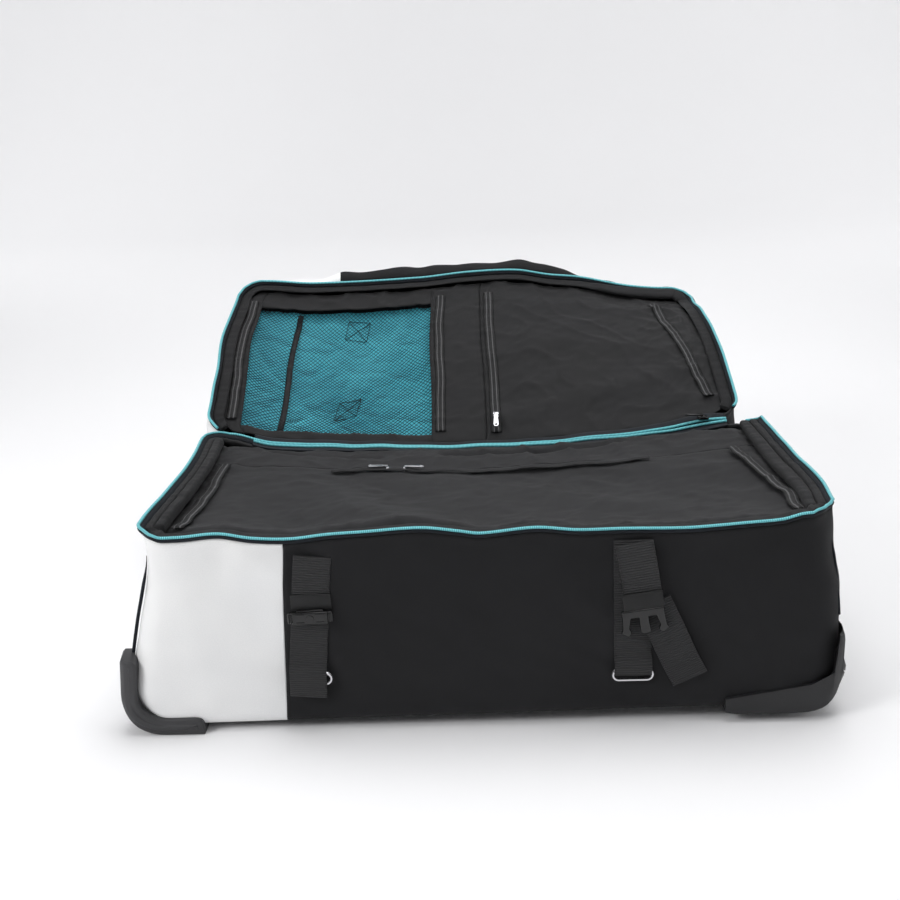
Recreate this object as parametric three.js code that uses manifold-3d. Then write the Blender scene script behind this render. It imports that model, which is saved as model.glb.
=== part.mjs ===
// A wheeled ski and travel bag, opened like a clamshell: the lower half stands on two corner guards and
// two wheels, and the lid lies back behind it on a zipped hinge. Millimetres, Z up, the long side along X,
// the front towards -Y.
import * as THREE from "three";
import { mergeVertices } from "three/addons/utils/BufferGeometryUtils.js";
import Module from "manifold-3d";

const wasm = await Module();
wasm.setup();

// Driving sizes
const gap = 0.3; // between pieces that touch
const clothWall = 4; // padded side walls of the lower half
const lidWall = 3;
const thinCloth = 1.6; // panels and flaps
const boardThickness = 5; // stiff base
const hinge = { y: 190, z: 229 };
const lidTilt = THREE.MathUtils.degToRad(23.7);

const lowerSize = {
  left: 394,
  right: 390,
  front: 200,
  back: 212,
  corner: 34,
  bottom: 5, // under the left end
  rise: 10, // how much higher the underside is at the right end
  rim: 229.5,
  endRound: 50, // bottom edge seen from the front
  longRound: 14, // bottom edge seen from an end
};
const lowerTaper = { left: 24, right: 9, front: 10, back: 22 };
const lidSize = {
  left: 380,
  right: 364,
  front: 17,
  back: 393,
  corner: 44,
  bottom: -125,
  rise: 0,
  rim: -6.5, // the teal coil lies in the plane of the hinge
  endRound: 24,
  longRound: 24,
};
const lidTaper = { left: 6, right: 6, front: 20, back: 22 };

// How far each rim sags at its deepest
const rimSag = 10;
const hingeSag = 36;
const farSag = 13;
const cornerSag = 40;

const seam = { top: -208, bottom: -218, lid: -212 }; // where white cloth meets black, along X
const rimTape = { height: 4.5, thickness: 2 };
const coil = { width: 4.6, height: 3.4 };
const facing = { width: 10, height: 7, below: 2.4, apart: 0.9, lidApart: 3.4 };
const roll = { radius: 5.5, below: 1.6, sides: 8 };
const cover = { below: 8.1, under: 3, sag: 9, backZip: 0.76 };
const zip = { tape: 20, coil: 5, base: 0.9, height: 2.6 };
const slider = { length: 11, width: 8, height: 4.5 };
const tab = { length: 25, width: 7, thickness: 1.6, hole: 1.7 };
const webbing = { width: 40, thickness: 1.8 };
const ring = { width: 46, height: 16, wire: 3.4 };
const guard = { leg: 22, foot: 20, wrap: 34, proud: 4, top: 92, long: 89, round: 50 };
const housing = { from: 262, top: 112, proud: 4, box: 84, boxWidth: 60, boxFront: 12 };
const wheel = { radius: 32, width: 26, bore: 4.3, clearance: 4, edge: 4, hub: 15, recess: 3 };
const axleRadius = wheel.bore - gap;
const steps = { side: 10, corner: 3 }; // facets along a long side and round an upright corner
const piping = 1.8; // radius

const colours = {
  black: "#1e1e20",
  panel: "#29292b",
  tape: "#161617",
  white: "#f4f4f2",
  teal: "#39a7b2",
  lining: "#23808f",
  plastic: "#37373a",
  gloss: "#141415",
  silver: "#c9c9cb",
  tyre: "#232324",
};

const finish = (colour, roughness, metalness) =>
  new THREE.MeshStandardMaterial({ color: colour, roughness, metalness });

// How far each wall stands in from its widest, as shares of its taper, from the bottom up
const lowerSections = [
  { up: 0.0, left: 0.0, right: 0.0, front: 0.0, back: 0.55 },
  { up: 0.22, left: 0.05, right: 0.0, front: 0.0, back: 0.4 },
  { up: 0.4, left: 0.4, right: 0.2, front: -0.2, back: 0.05 },
  { up: 0.55, left: 0.7, right: 0.4, front: -0.1, back: 0.0 },
  { up: 0.75, left: 1.1, right: 0.8, front: 0.3, back: 0.35 },
  { up: 0.9, left: 1.15, right: 1.1, front: 0.8, back: 0.75 },
  { up: 1.0, left: 1.0, right: 1.0, front: 1.0, back: 1.0 },
];
const lidSections = [
  { up: 0.0, left: 0.0, right: 0.0, front: 0.0, back: 0.1 },
  { up: 0.3, left: 0.0, right: 0.0, front: 0.25, back: 0.0 },
  { up: 0.6, left: 0.1, right: 0.1, front: 0.55, back: 0.0 },
  { up: 0.85, left: 0.5, right: 0.5, front: 0.85, back: 0.05 },
  { up: 0.95, left: 0.8, right: 0.8, front: 0.95, back: 0.3 },
  { up: 0.985, left: 0.95, right: 0.95, front: 0.99, back: 0.6 },
  { up: 1.0, left: 1.0, right: 1.0, front: 1.0, back: 1.0 },
];

// Folds of a rim, side by side: the place along it from left to right or front to back, how far it drops
// and how far it is pulled inwards, both as shares of the sag beside them. Reach is how fast a fold fades
// down the wall.
const lowerFolds = [
  { side: "front", along: 0.0, sag: rimSag, drop: 0.3, pull: 0, reach: 3 },
  { side: "front", along: 0.09, sag: rimSag, drop: 0.2, pull: 0, reach: 3 },
  { side: "front", along: 0.2, sag: rimSag, drop: 1.0, pull: 0, reach: 3 },
  { side: "front", along: 0.31, sag: rimSag, drop: 0.4, pull: 0, reach: 3 },
  { side: "front", along: 0.4, sag: rimSag, drop: 0.1, pull: 0, reach: 3 },
  { side: "front", along: 0.49, sag: rimSag, drop: 0.9, pull: 0, reach: 3 },
  { side: "front", along: 0.58, sag: rimSag, drop: 0.4, pull: 0, reach: 3 },
  { side: "front", along: 0.65, sag: rimSag, drop: 0.85, pull: 0, reach: 3 },
  { side: "front", along: 0.81, sag: rimSag, drop: 0.9, pull: 0, reach: 3 },
  { side: "front", along: 0.955, sag: rimSag, drop: 0.2, pull: 0, reach: 3 },
  { side: "front", along: 1.0, sag: rimSag, drop: -0.4, pull: 0, reach: 3 },
  { side: "right", along: 0.0, sag: rimSag, drop: -0.8, pull: 0, reach: 3 },
  { side: "right", along: 0.5, sag: rimSag, drop: -0.2, pull: 0.1, reach: 3 },
  { side: "right", along: 1.0, sag: rimSag, drop: -0.6, pull: 0.7, reach: 3 },
  { side: "back", along: 0.0, sag: hingeSag, drop: 0.3, pull: 0, reach: 2 },
  { side: "back", along: 0.08, sag: hingeSag, drop: 0.7, pull: 0, reach: 2 },
  { side: "back", along: 0.3, sag: hingeSag, drop: 0.93, pull: 0, reach: 2 },
  { side: "back", along: 0.6, sag: hingeSag, drop: 1.0, pull: 0, reach: 2 },
  { side: "back", along: 0.8, sag: hingeSag, drop: 0.76, pull: 0, reach: 2 },
  { side: "back", along: 0.95, sag: hingeSag, drop: 0.47, pull: 0, reach: 2 },
  { side: "back", along: 1.0, sag: hingeSag, drop: 0.1, pull: 0, reach: 2 },
  { side: "left", along: 0.0, sag: rimSag, drop: -0.3, pull: -0.2, reach: 3 },
  { side: "left", along: 0.35, sag: rimSag, drop: 0.1, pull: 0.9, reach: 3 },
  { side: "left", along: 0.7, sag: rimSag, drop: 0.2, pull: 1.1, reach: 3 },
  { side: "left", along: 1.0, sag: rimSag, drop: 0.4, pull: 0.5, reach: 3 },
];
const lidFolds = [
  { side: "front", along: 0.0, sag: hingeSag, drop: 0.25, pull: 0, reach: 3 },
  { side: "front", along: 0.08, sag: hingeSag, drop: 0.5, pull: -0.15, reach: 3 },
  { side: "front", along: 0.35, sag: hingeSag, drop: 0.8, pull: -0.25, reach: 3 },
  { side: "front", along: 0.6, sag: hingeSag, drop: 0.85, pull: -0.25, reach: 3 },
  { side: "front", along: 0.85, sag: hingeSag, drop: 0.5, pull: -0.15, reach: 3 },
  { side: "front", along: 1.0, sag: hingeSag, drop: 0.1, pull: 0, reach: 3 },
  { side: "right", along: 0.0, sag: cornerSag, drop: 0.0, pull: 0, reach: 4 },
  { side: "right", along: 0.5, sag: cornerSag, drop: 0.05, pull: 0.1, reach: 4 },
  { side: "right", along: 0.8, sag: cornerSag, drop: 0.4, pull: 0.25, reach: 2.4 },
  { side: "right", along: 1.0, sag: cornerSag, drop: 0.85, pull: 0.35, reach: 2 },
  { side: "back", along: 1.0, sag: cornerSag, drop: 0.95, pull: 0.2, reach: 2 },
  { side: "back", along: 0.9, sag: cornerSag, drop: 0.85, pull: 0.1, reach: 2 },
  { side: "back", along: 0.78, sag: farSag, drop: 1.3, pull: 0, reach: 4 },
  { side: "back", along: 0.7, sag: farSag, drop: 0.8, pull: 0, reach: 9 },
  { side: "back", along: 0.62, sag: farSag, drop: 0.0, pull: 0, reach: 9 },
  { side: "back", along: 0.5, sag: farSag, drop: 0.1, pull: 0, reach: 9 },
  { side: "back", along: 0.38, sag: farSag, drop: 0.7, pull: 0, reach: 9 },
  { side: "back", along: 0.12, sag: farSag, drop: 1.0, pull: 0, reach: 9 },
  { side: "back", along: 0.0, sag: farSag, drop: 0.1, pull: 0.5, reach: 9 },
  { side: "left", along: 1.0, sag: farSag, drop: 0.3, pull: 0.4, reach: 6 },
  { side: "left", along: 0.6, sag: farSag, drop: 0.0, pull: -0.2, reach: 6 },
  { side: "left", along: 0.3, sag: farSag, drop: 0.0, pull: 0.1, reach: 6 },
  { side: "left", along: 0.0, sag: farSag, drop: 0.1, pull: 0.2, reach: 6 },
];

// Soft ridges across the two wide inner panels: where each runs, as shares of the panel, and its height
const ridgeHeight = 6;
const ridgeWidth = 0.07;
const coverRidges = [
  { fromX: 0.08, fromY: 0.95, toX: 0.36, toY: 0.1, rise: 0.9 },
  { fromX: 0.25, fromY: 0.85, toX: 0.5, toY: 0.35, rise: 0.6 },
  { fromX: 0.62, fromY: 0.8, toX: 0.95, toY: 0.55, rise: 0.5 },
  { fromX: 0.02, fromY: 0.1, toX: 0.98, toY: 0.06, rise: 0.7 },
];
const pocketRidges = [
  { fromX: 0.56, fromY: 0.45, toX: 0.72, toY: 0.66, rise: 0.5 },
  { fromX: 0.58, fromY: 0.12, toX: 0.9, toY: 0.3, rise: 0.8 },
  { fromX: 0.6, fromY: 0.86, toX: 0.92, toY: 0.84, rise: 0.6 },
];

// Curve and surface helpers
const sideStart = { front: 0, right: 2, back: 4, left: 6 };
const runsBackwards = { front: false, right: false, back: true, left: true };

// The place of a point round the plan, 0 to 8: front side 0 to 1, then a corner, then the right end 2 to 3
// and so on against the clock.
function placeOf(side, along) {
  const share = runsBackwards[side] ? 1 - along : along;
  return sideStart[side] + share;
}

function easedRow(rows, key, value, wrap) {
  const sorted = [...rows].sort((a, b) => a[key] - b[key]);
  const last = sorted[sorted.length - 1];
  if (wrap) {
    sorted.push({ ...sorted[0], [key]: sorted[0][key] + wrap });
    sorted.unshift({ ...last, [key]: last[key] - wrap });
  }
  const top = sorted[sorted.length - 1];
  const place = THREE.MathUtils.clamp(value, sorted[0][key], top[key]);
  let high = sorted.findIndex((row) => row[key] >= place);
  high = Math.max(high, 1);
  const a = sorted[high - 1];
  const b = sorted[high];
  const span = b[key] - a[key];
  const linear = span > 0 ? (place - a[key]) / span : 0;
  const share = wrap ? THREE.MathUtils.smoothstep(linear, 0, 1) : linear;
  const result = {};
  for (const name of Object.keys(a)) {
    if (typeof a[name] === "number") result[name] = THREE.MathUtils.lerp(a[name], b[name], share);
  }
  return result;
}

function roundInset(height, radius) {
  if (height >= radius) return 0;
  const rest = radius - Math.max(height, 0);
  return radius - Math.sqrt(radius * radius - rest * rest);
}

// A half of the bag as a function of the place round its plan, the share of its height and how far outside
// its outer face the point lies.
function caseSurface(size, taper, sections, folds) {
  const placed = folds.map((row) => ({
    place: placeOf(row.side, row.along),
    drop: row.drop * row.sag,
    pull: row.pull * row.sag,
    reach: row.reach,
  }));
  return (place, up, out) => {
    const turn = ((place % 8) + 8) % 8;
    const part = Math.floor(turn);
    const share = turn - part;
    const inset = easedRow(sections, "up", up, 0);
    const fold = easedRow(placed, "place", turn, 8);
    const height = up * (size.rim - size.bottom);
    const ends = roundInset(height, size.endRound);
    const long = roundInset(height, size.longRound);
    const left = -size.left + inset.left * taper.left + ends - out;
    const right = size.right - inset.right * taper.right - ends + out;
    const front = -size.front + inset.front * taper.front + long - out;
    const back = size.back - inset.back * taper.back - long + out;
    const radius = Math.max(size.corner + out, 6);
    const inner = { l: left + radius, r: right - radius, f: front + radius, b: back - radius };
    const angle = (share * Math.PI) / 2;
    const mix = THREE.MathUtils.lerp;
    const spots = [
      () => [mix(inner.l, inner.r, share), inner.f, -Math.PI / 2],
      () => [inner.r, inner.f, angle - Math.PI / 2],
      () => [inner.r, mix(inner.f, inner.b, share), 0],
      () => [inner.r, inner.b, angle],
      () => [mix(inner.r, inner.l, share), inner.b, Math.PI / 2],
      () => [inner.l, inner.b, angle + Math.PI / 2],
      () => [inner.l, mix(inner.b, inner.f, share), Math.PI],
      () => [inner.l, inner.f, angle + Math.PI],
    ];
    const [x, y, facingAngle] = spots[part]();
    const fade = Math.pow(Math.max(up, 0), fold.reach);
    const reachOut = radius - fold.pull * fade;
    const px = x + reachOut * Math.cos(facingAngle);
    const py = y + reachOut * Math.sin(facingAngle);
    const low = size.bottom + (size.rise * (px + size.left)) / (size.left + size.right);
    return new THREE.Vector3(px, py, mix(low, size.rim, up) - fold.drop * fade);
  };
}

const lowerDepth = lowerSize.rim - lowerSize.bottom;
const lidDepth = lidSize.rim - lidSize.bottom;
const lowerCase = caseSurface(lowerSize, lowerTaper, lowerSections, lowerFolds);
const lidCase = caseSurface(lidSize, lidTaper, lidSections, lidFolds);

// Places from one to another, finer along the sides than a corner's few
function placesBetween(from, to, sideSteps, cornerSteps) {
  const places = [];
  for (let part = Math.floor(from); part < to; part += 1) {
    const isCorner = ((part % 2) + 2) % 2 === 1;
    const isEnd = ((part % 4) + 4) % 4 === 2;
    const steps = isCorner ? cornerSteps : Math.ceil(sideSteps * (isEnd ? 0.5 : 1));
    for (let i = 0; i < steps; i += 1) {
      const place = part + i / steps;
      if (place > from + 1e-6 && place < to - 1e-6) places.push(place);
    }
  }
  return [from, ...places, to];
}

// A closed body through rings of points. Its ends are closed pair by pair across the ring, or by a fan, or
// the last ring meets the first.
function loft(rings, ends = "pairs") {
  const count = rings[0].length;
  const points = rings.flat();
  const faces = [];
  const at = (ringNumber, i) => ringNumber * count + (i % count);
  const last = ends === "wrap" ? rings.length : rings.length - 1;
  for (let k = 0; k < last; k += 1) {
    const next = (k + 1) % rings.length;
    for (let i = 0; i < count; i += 1) {
      faces.push([at(k, i), at(k, i + 1), at(next, i + 1)]);
      faces.push([at(k, i), at(next, i + 1), at(next, i)]);
    }
  }
  for (const k of ends === "wrap" ? [] : [0, rings.length - 1]) {
    const turn = k === 0;
    const add = (a, b, c) => faces.push(turn ? [a, c, b] : [a, b, c]);
    if (ends === "fan") {
      const centre = new THREE.Vector3();
      rings[k].forEach((p) => centre.addScaledVector(p, 1 / count));
      points.push(centre);
      for (let i = 0; i < count; i += 1) add(at(k, i), at(k, i + 1), points.length - 1);
    } else {
      for (let i = 0, j = count - 1; j - i > 1; i += 1, j -= 1) {
        add(at(k, i), at(k, i + 1), at(k, j));
        if (j - i > 2) add(at(k, i + 1), at(k, j - 1), at(k, j));
      }
    }
  }
  let volume = 0;
  for (const [a, b, c] of faces) {
    volume += points[a].dot(new THREE.Vector3().crossVectors(points[b], points[c]));
  }
  if (volume < 0) faces.forEach((face) => face.reverse());
  const geometry = new THREE.BufferGeometry();
  const spots = points.flatMap((p) => [p.x, p.y, p.z]);
  geometry.setAttribute("position", new THREE.Float32BufferAttribute(spots, 3));
  geometry.setIndex(faces.flat());
  return geometry;
}

// A strip that follows a rim: its section is given as steps outwards and upwards from the rim's outer edge,
// and below the rim it leans as the wall does
function alongRim(surface, depth, places, section) {
  const spot = (place, out, up) => {
    if (up < 0) return surface(place, 1 + up / depth, out);
    return surface(place, 1, out).add(new THREE.Vector3(0, 0, up));
  };
  return loft(places.map((place) => section.map(({ out, up }) => spot(place, out, up))));
}

function roundSection(out, up, radiusOut, radiusUp, sides) {
  return Array.from({ length: sides }, (_, i) => {
    const angle = ((i + 0.5) * 2 * Math.PI) / sides;
    return { out: out + radiusOut * Math.cos(angle), up: up + radiusUp * Math.sin(angle) };
  });
}

// A flat spread across the inside of a half, at a depth below the rim and an inset from the walls. Its
// coordinates run 0 to 1 from left to right and from front to back.
function spread(surface, size, below, inset) {
  const halfCorner = Math.max(size.corner - inset, 6) * Math.SQRT1_2;
  const acrossCorner = halfCorner / (size.left + size.right - 2 * inset);
  const deepCorner = halfCorner / (size.front + size.back - 2 * inset);
  const edge = (start, share, corner) => {
    if (share < corner) return start - 0.5 + (share / corner) * 0.5;
    if (share > 1 - corner) return start + 1 + ((share - 1 + corner) / corner) * 0.5;
    return start + (share - corner) / (1 - 2 * corner);
  };
  const rim = (place) => surface(place, 1, -inset);
  const corners = [rim(7.5), rim(1.5), rim(5.5), rim(3.5)];
  return (u, w) => {
    const point = new THREE.Vector3();
    point.addScaledVector(rim(edge(0, u, acrossCorner)), 1 - w);
    point.addScaledVector(rim(edge(4, 1 - u, acrossCorner)), w);
    point.addScaledVector(rim(edge(6, 1 - w, deepCorner)), 1 - u);
    point.addScaledVector(rim(edge(2, w, deepCorner)), u);
    point.addScaledVector(corners[0], -(1 - u) * (1 - w));
    point.addScaledVector(corners[1], -u * (1 - w));
    point.addScaledVector(corners[2], -(1 - u) * w);
    point.addScaledVector(corners[3], -u * w);
    point.z -= below;
    return point;
  };
}

function ridgesAt(ridges, u, w) {
  let height = 0;
  for (const ridge of ridges) {
    const along = new THREE.Vector2(ridge.toX - ridge.fromX, ridge.toY - ridge.fromY);
    const spot = new THREE.Vector2(u - ridge.fromX, w - ridge.fromY);
    const share = THREE.MathUtils.clamp(spot.dot(along) / along.lengthSq(), 0, 1);
    const away = spot.sub(along.multiplyScalar(share)).length() / ridgeWidth;
    height += ridge.rise * ridgeHeight * Math.exp(-away * away);
  }
  const edge = Math.min(u, 1 - u, w, 1 - w);
  return height * THREE.MathUtils.smoothstep(edge, 0, ridgeWidth);
}

const hollow = (u, w) => Math.sin(Math.PI * u) * Math.sin(Math.PI * w);

// A thin sheet whose top follows a function of two shares
function sheet(top, range, facets, thickness) {
  const rings = [];
  for (let i = 0; i <= facets.across; i += 1) {
    const u = THREE.MathUtils.lerp(range.left, range.right, i / facets.across);
    const line = [];
    for (let j = 0; j <= facets.deep; j += 1) {
      line.push(top(u, THREE.MathUtils.lerp(range.front, range.back, j / facets.deep)));
    }
    const under = line.map((p) => p.clone().setZ(p.z - thickness)).reverse();
    rings.push([...line, ...under]);
  }
  return loft(rings);
}

// A band along a line of points: its section is given as steps across and steps up
function band(line, upward, section) {
  return loft(
    line.map((point, i) => {
      const ahead = line[Math.min(i + 1, line.length - 1)];
      const behind = line[Math.max(i - 1, 0)];
      const along = ahead.clone().sub(behind).normalize();
      const across = new THREE.Vector3().crossVectors(along, upward).normalize();
      return section.map(({ side, up }) =>
        point.clone().addScaledVector(across, side).addScaledVector(upward, up),
      );
    }),
  );
}

const skyward = new THREE.Vector3(0, 0, 1);
const forward = new THREE.Vector3(0, -1, 0);

function flatSection(width, thickness) {
  return [
    { side: -width / 2, up: thickness },
    { side: width / 2, up: thickness },
    { side: width / 2, up: 0 },
    { side: -width / 2, up: 0 },
  ];
}

const zipSection = [
  { side: -zip.tape / 2, up: zip.base },
  { side: -zip.coil / 2, up: zip.height },
  { side: zip.coil / 2, up: zip.height },
  { side: zip.tape / 2, up: zip.base },
  { side: zip.tape / 2, up: 0 },
  { side: zip.coil / 2, up: 0 },
  { side: -zip.coil / 2, up: 0 },
  { side: -zip.tape / 2, up: 0 },
];

// Cuts and joins
function toSolid(geometry) {
  const plain = geometry.clone();
  plain.deleteAttribute("normal");
  plain.deleteAttribute("uv");
  const merged = mergeVertices(plain, 1e-4);
  const vertProperties = merged.attributes.position.array;
  const triVerts = new Uint32Array(merged.index.array);
  return new wasm.Manifold(new wasm.Mesh({ numProp: 3, vertProperties, triVerts }));
}

function toGeometry(solid) {
  const made = solid.getMesh();
  const geometry = new THREE.BufferGeometry();
  geometry.setAttribute("position", new THREE.Float32BufferAttribute(made.vertProperties, 3));
  geometry.setIndex(new THREE.Uint32BufferAttribute(made.triVerts, 1));
  return geometry;
}

function block(fromX, toX, fromY, toY, fromZ, toZ) {
  const geometry = new THREE.BoxGeometry(toX - fromX, toY - fromY, toZ - fromZ);
  return geometry.translate((fromX + toX) / 2, (fromY + toY) / 2, (fromZ + toZ) / 2);
}

// An outline in the plane of the front, pushed back from one depth to another
function slab(shape, fromY, toY, edge = 0) {
  const depth = toY - fromY - 2 * edge;
  const options = { depth, bevelEnabled: edge > 0, bevelSize: edge, bevelThickness: edge, bevelSegments: 1 };
  options.bevelOffset = -edge;
  options.curveSegments = 5;
  return new THREE.ExtrudeGeometry(shape, options).rotateX(Math.PI / 2).translate(0, toY - edge, 0);
}

function outline(points) {
  return new THREE.Shape(points.map(([x, z]) => new THREE.Vector2(x, z)));
}

// The two halves' shells
const shellRows = (size, sections) => {
  const height = size.rim - size.bottom;
  const round = [0, 30, 60].map((angle) => {
    const turned = THREE.MathUtils.degToRad(angle);
    return (size.endRound * (1 - Math.cos(turned))) / height;
  });
  return [...round, ...sections.map((row) => row.up).filter((up) => up * height >= size.endRound * 0.8)];
};

const lowerRows = shellRows(lowerSize, lowerSections);
const lidRows = shellRows(lidSize, lidSections);
const roundPlaces = placesBetween(0, 8, steps.side, steps.corner).slice(0, -1);

function ringsOf(surface, rows, out) {
  return rows.map((up) => roundPlaces.map((place) => surface(place, up, out)));
}

function shrunk(points, share, lift) {
  const centre = new THREE.Vector3();
  points.forEach((p) => centre.addScaledVector(p, 1 / points.length));
  return points.map((p) => p.clone().lerp(centre, share).add(new THREE.Vector3(0, 0, lift)));
}

const lowerRing = toSolid(
  loft(
    [...ringsOf(lowerCase, lowerRows, 0), ...ringsOf(lowerCase, lowerRows, -clothWall).reverse()],
    "wrap",
  ),
);
const lidOuter = ringsOf(lidCase, lidRows, 0);
const lidInner = ringsOf(lidCase, lidRows, -lidWall);
const lidInnerFloor = lidInner[0].map((p) => p.clone().setZ(p.z + lidWall));
const aboveFloor = lidInner.filter((row) => row[0].z > lidInnerFloor[0].z + 2);
const lidInnerRows = [lidInnerFloor, ...aboveFloor];
const lidTray = toSolid(
  loft(
    [
      shrunk(lidOuter[0], 0.5, -3),
      ...lidOuter,
      ...lidInnerRows.reverse(),
      shrunk(lidInnerFloor, 0.5, -3),
    ],
    "fan",
  ),
);
const filledLower = (out) => {
  const rows = ringsOf(lowerCase, lowerRows, out);
  const floor = rows[0].map((p) => p.clone().setZ(p.z - out));
  return toSolid(loft([floor, ...rows.slice(1)], "fan"));
};

const far = 2000;
function beside(bottomX, topX, sign) {
  const edge = (x) => x + (sign * gap) / 2;
  const slope = (topX - bottomX) / (lowerSize.rim - lowerSize.bottom);
  const spot = (z) => edge(bottomX + slope * (z - lowerSize.bottom));
  const points = [
    [spot(-far / 4), -far / 4],
    [spot(far / 4), far / 4],
    [sign * far, far / 4],
    [sign * far, -far / 4],
  ];
  return toSolid(slab(outline(points), -far / 2, far / 2));
}

// Wheels and their housings, at the right end
const wheelX = lowerSize.right - housing.proud - wheel.radius - wheel.clearance - 8;
const mirrored = (sign, near, deep) => (sign < 0 ? [near, deep] : [-deep, -near]);

// The right bottom corner seen from the front: the band that wraps it, outside the walls
function cornerOutline() {
  const r = lowerSize.endRound;
  const right = lowerSize.right + housing.proud;
  const low = lowerSize.bottom + lowerSize.rise - housing.proud;
  const shape = new THREE.Shape();
  shape.moveTo(housing.from, low + 2);
  shape.lineTo(housing.from + 12, low);
  shape.lineTo(right - r, low);
  shape.absarc(right - r, low + r, r, -Math.PI / 2, 0, false);
  shape.lineTo(right - 2, housing.top - 8);
  shape.lineTo(right - 8, housing.top);
  shape.lineTo(right - 26, housing.top);
  shape.lineTo(right - 34, low + r);
  shape.lineTo(right - r, low + 34);
  shape.lineTo(housing.from, low + 18);
  return shape;
}

const frontFace = -lowerSize.front;
const bandFront = frontFace - housing.proud;
const boxNear = frontFace + housing.boxFront;
const boxDeep = boxNear + housing.boxWidth;
const wheelMiddle = (boxNear + boxDeep) / 2;

function housingBox(grow) {
  const right = lowerSize.right + housing.proud;
  return block(
    wheelX - wheel.radius - wheel.clearance - 6 - grow,
    right + grow,
    boxNear - grow,
    boxDeep + grow,
    -10,
    housing.box + grow,
  );
}

const keepInside = toSolid(
  slab(
    (() => {
      const shape = cornerOutline();
      const whole = new THREE.Shape(shape.getPoints(6).slice(0, -4));
      whole.lineTo(housing.from, housing.top);
      return whole;
    })(),
    bandFront - 1,
    -bandFront + 1,
  ),
);

function cylinderAlongY(radius, fromY, toY, sides) {
  return new THREE.CylinderGeometry(radius, radius, toY - fromY, sides)
    .translate(0, (fromY + toY) / 2, 0);
}

function wheelHousing(filled, sign) {
  const [fromY, toY] = mirrored(sign, bandFront, boxDeep);
  const hug = toSolid(slab(cornerOutline(), fromY, toY)).subtract(filled);
  const flip = (geometry) => (sign < 0 ? geometry : geometry.clone().scale(1, -1, 1));
  const turned = (solid) => (sign < 0 ? solid : solid.mirror([0, 1, 0]));
  const box = turned(toSolid(housingBox(0))).intersect(keepInside);
  const half = wheel.width / 2 + wheel.clearance;
  const reach = wheel.radius + wheel.clearance;
  const well = toSolid(cylinderAlongY(reach, -half, half, 24))
    .add(toSolid(block(-reach, reach, -half, half, -far / 4, 0)))
    .translate(wheelX, sign < 0 ? wheelMiddle : -wheelMiddle, wheel.radius);
  const pin = toSolid(cylinderAlongY(axleRadius, -half - 2, half + 2, 12))
    .translate(wheelX, sign < 0 ? wheelMiddle : -wheelMiddle, wheel.radius);
  return toGeometry(hug.add(box).subtract(well).add(pin));
}

const wheelSides = 16;
function wheelGeometry() {
  const { radius, width, bore, edge, hub, recess } = wheel;
  const half = width / 2;
  const profile = [
    [bore, -half],
    [hub, -half],
    [hub + 2, -half + recess],
    [radius - 9, -half + recess],
    [radius - 7, -half],
    [radius - edge, -half],
    [radius, -half + edge],
    [radius, half - edge],
    [radius - edge, half],
    [radius - 7, half],
    [radius - 9, half - recess],
    [hub + 2, half - recess],
    [hub, half],
    [bore, half],
    [bore, -half],
  ];
  return new THREE.LatheGeometry(profile.map(([r, h]) => new THREE.Vector2(r, h)), wheelSides);
}

// Corner guards, at the left end
function guardOutline() {
  const left = -lowerSize.left - guard.proud;
  const r = guard.round;
  const inner = r - guard.leg;
  const right = left + guard.long;
  const shape = new THREE.Shape();
  shape.moveTo(left + 3, guard.top);
  shape.lineTo(left, guard.top - 3);
  shape.lineTo(left, r);
  shape.absarc(left + r, r, r, Math.PI, 1.5 * Math.PI, false);
  shape.lineTo(right, 0);
  shape.lineTo(right, guard.foot - 8);
  shape.quadraticCurveTo(right, guard.foot, right - 10, guard.foot);
  shape.lineTo(left + r, guard.foot);
  shape.absarc(left + r, guard.foot + inner, inner, 1.5 * Math.PI, Math.PI, true);
  shape.lineTo(left + guard.leg, guard.top - 10);
  shape.quadraticCurveTo(left + guard.leg, guard.top, left + guard.leg - 10, guard.top);
  return shape;
}

function cornerGuard(filled, sign) {
  const face = frontFace - guard.proud;
  const [fromY, toY] = mirrored(sign, face, face + guard.wrap);
  return toGeometry(toSolid(slab(guardOutline(), fromY, toY, 2)).subtract(filled));
}

// Straps: bands on the front wall, each at its layer over the cloth
function onFront(x, z, off) {
  const height = (z - lowerSize.bottom) / (lowerSize.rim - lowerSize.bottom);
  const inset = easedRow(lowerSections, "up", height, 0).front * lowerTaper.front;
  return new THREE.Vector3(x, -lowerSize.front + inset - gap - off, z);
}

const layer = webbing.thickness + gap;
const ringLift = ring.wire + 2 * gap;
const strapRows = {
  left_strap_upper: [
    { x: -177, z: 206, off: 0 },
    { x: -180, z: 178, off: 0 },
    { x: -182, z: 149, off: 0.4 },
  ],
  left_strap_lower: [
    { x: -184, z: 125, off: 0.4 },
    { x: -188, z: 90, off: 0 },
    { x: -189, z: 78, off: ringLift },
    { x: -190, z: 56, off: ringLift },
    { x: -191, z: 44, off: 1.5 },
  ],
  right_strap_vertical: [
    { x: 160, z: 215, off: 0 },
    { x: 160, z: 140, off: 0 },
    { x: 160.5, z: 84, off: 0 },
    { x: 161, z: 76, off: ringLift },
    { x: 161, z: 63, off: ringLift },
  ],
  right_strap_tail: [
    { x: 189, z: 150, off: layer + 2 * gap },
    { x: 203, z: 118, off: layer + 2 * gap },
    { x: 219, z: 82, off: layer + 2 * gap },
    { x: 231, z: 55, off: 0 },
  ],
  right_strap_upper: [
    { x: 161, z: 213, off: 2 * layer },
    { x: 167, z: 176, off: 2 * layer + 2 },
    { x: 172, z: 141, off: 2 * layer + 1 },
  ],
};
const bandRows = {
  left_strap_band: { x: -181, z: 157, off: layer + 0.6, lean: 0.03 },
  right_strap_band: { x: 170.5, z: 150, off: 3 * layer + 1.8, lean: 0.14 },
};
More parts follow.
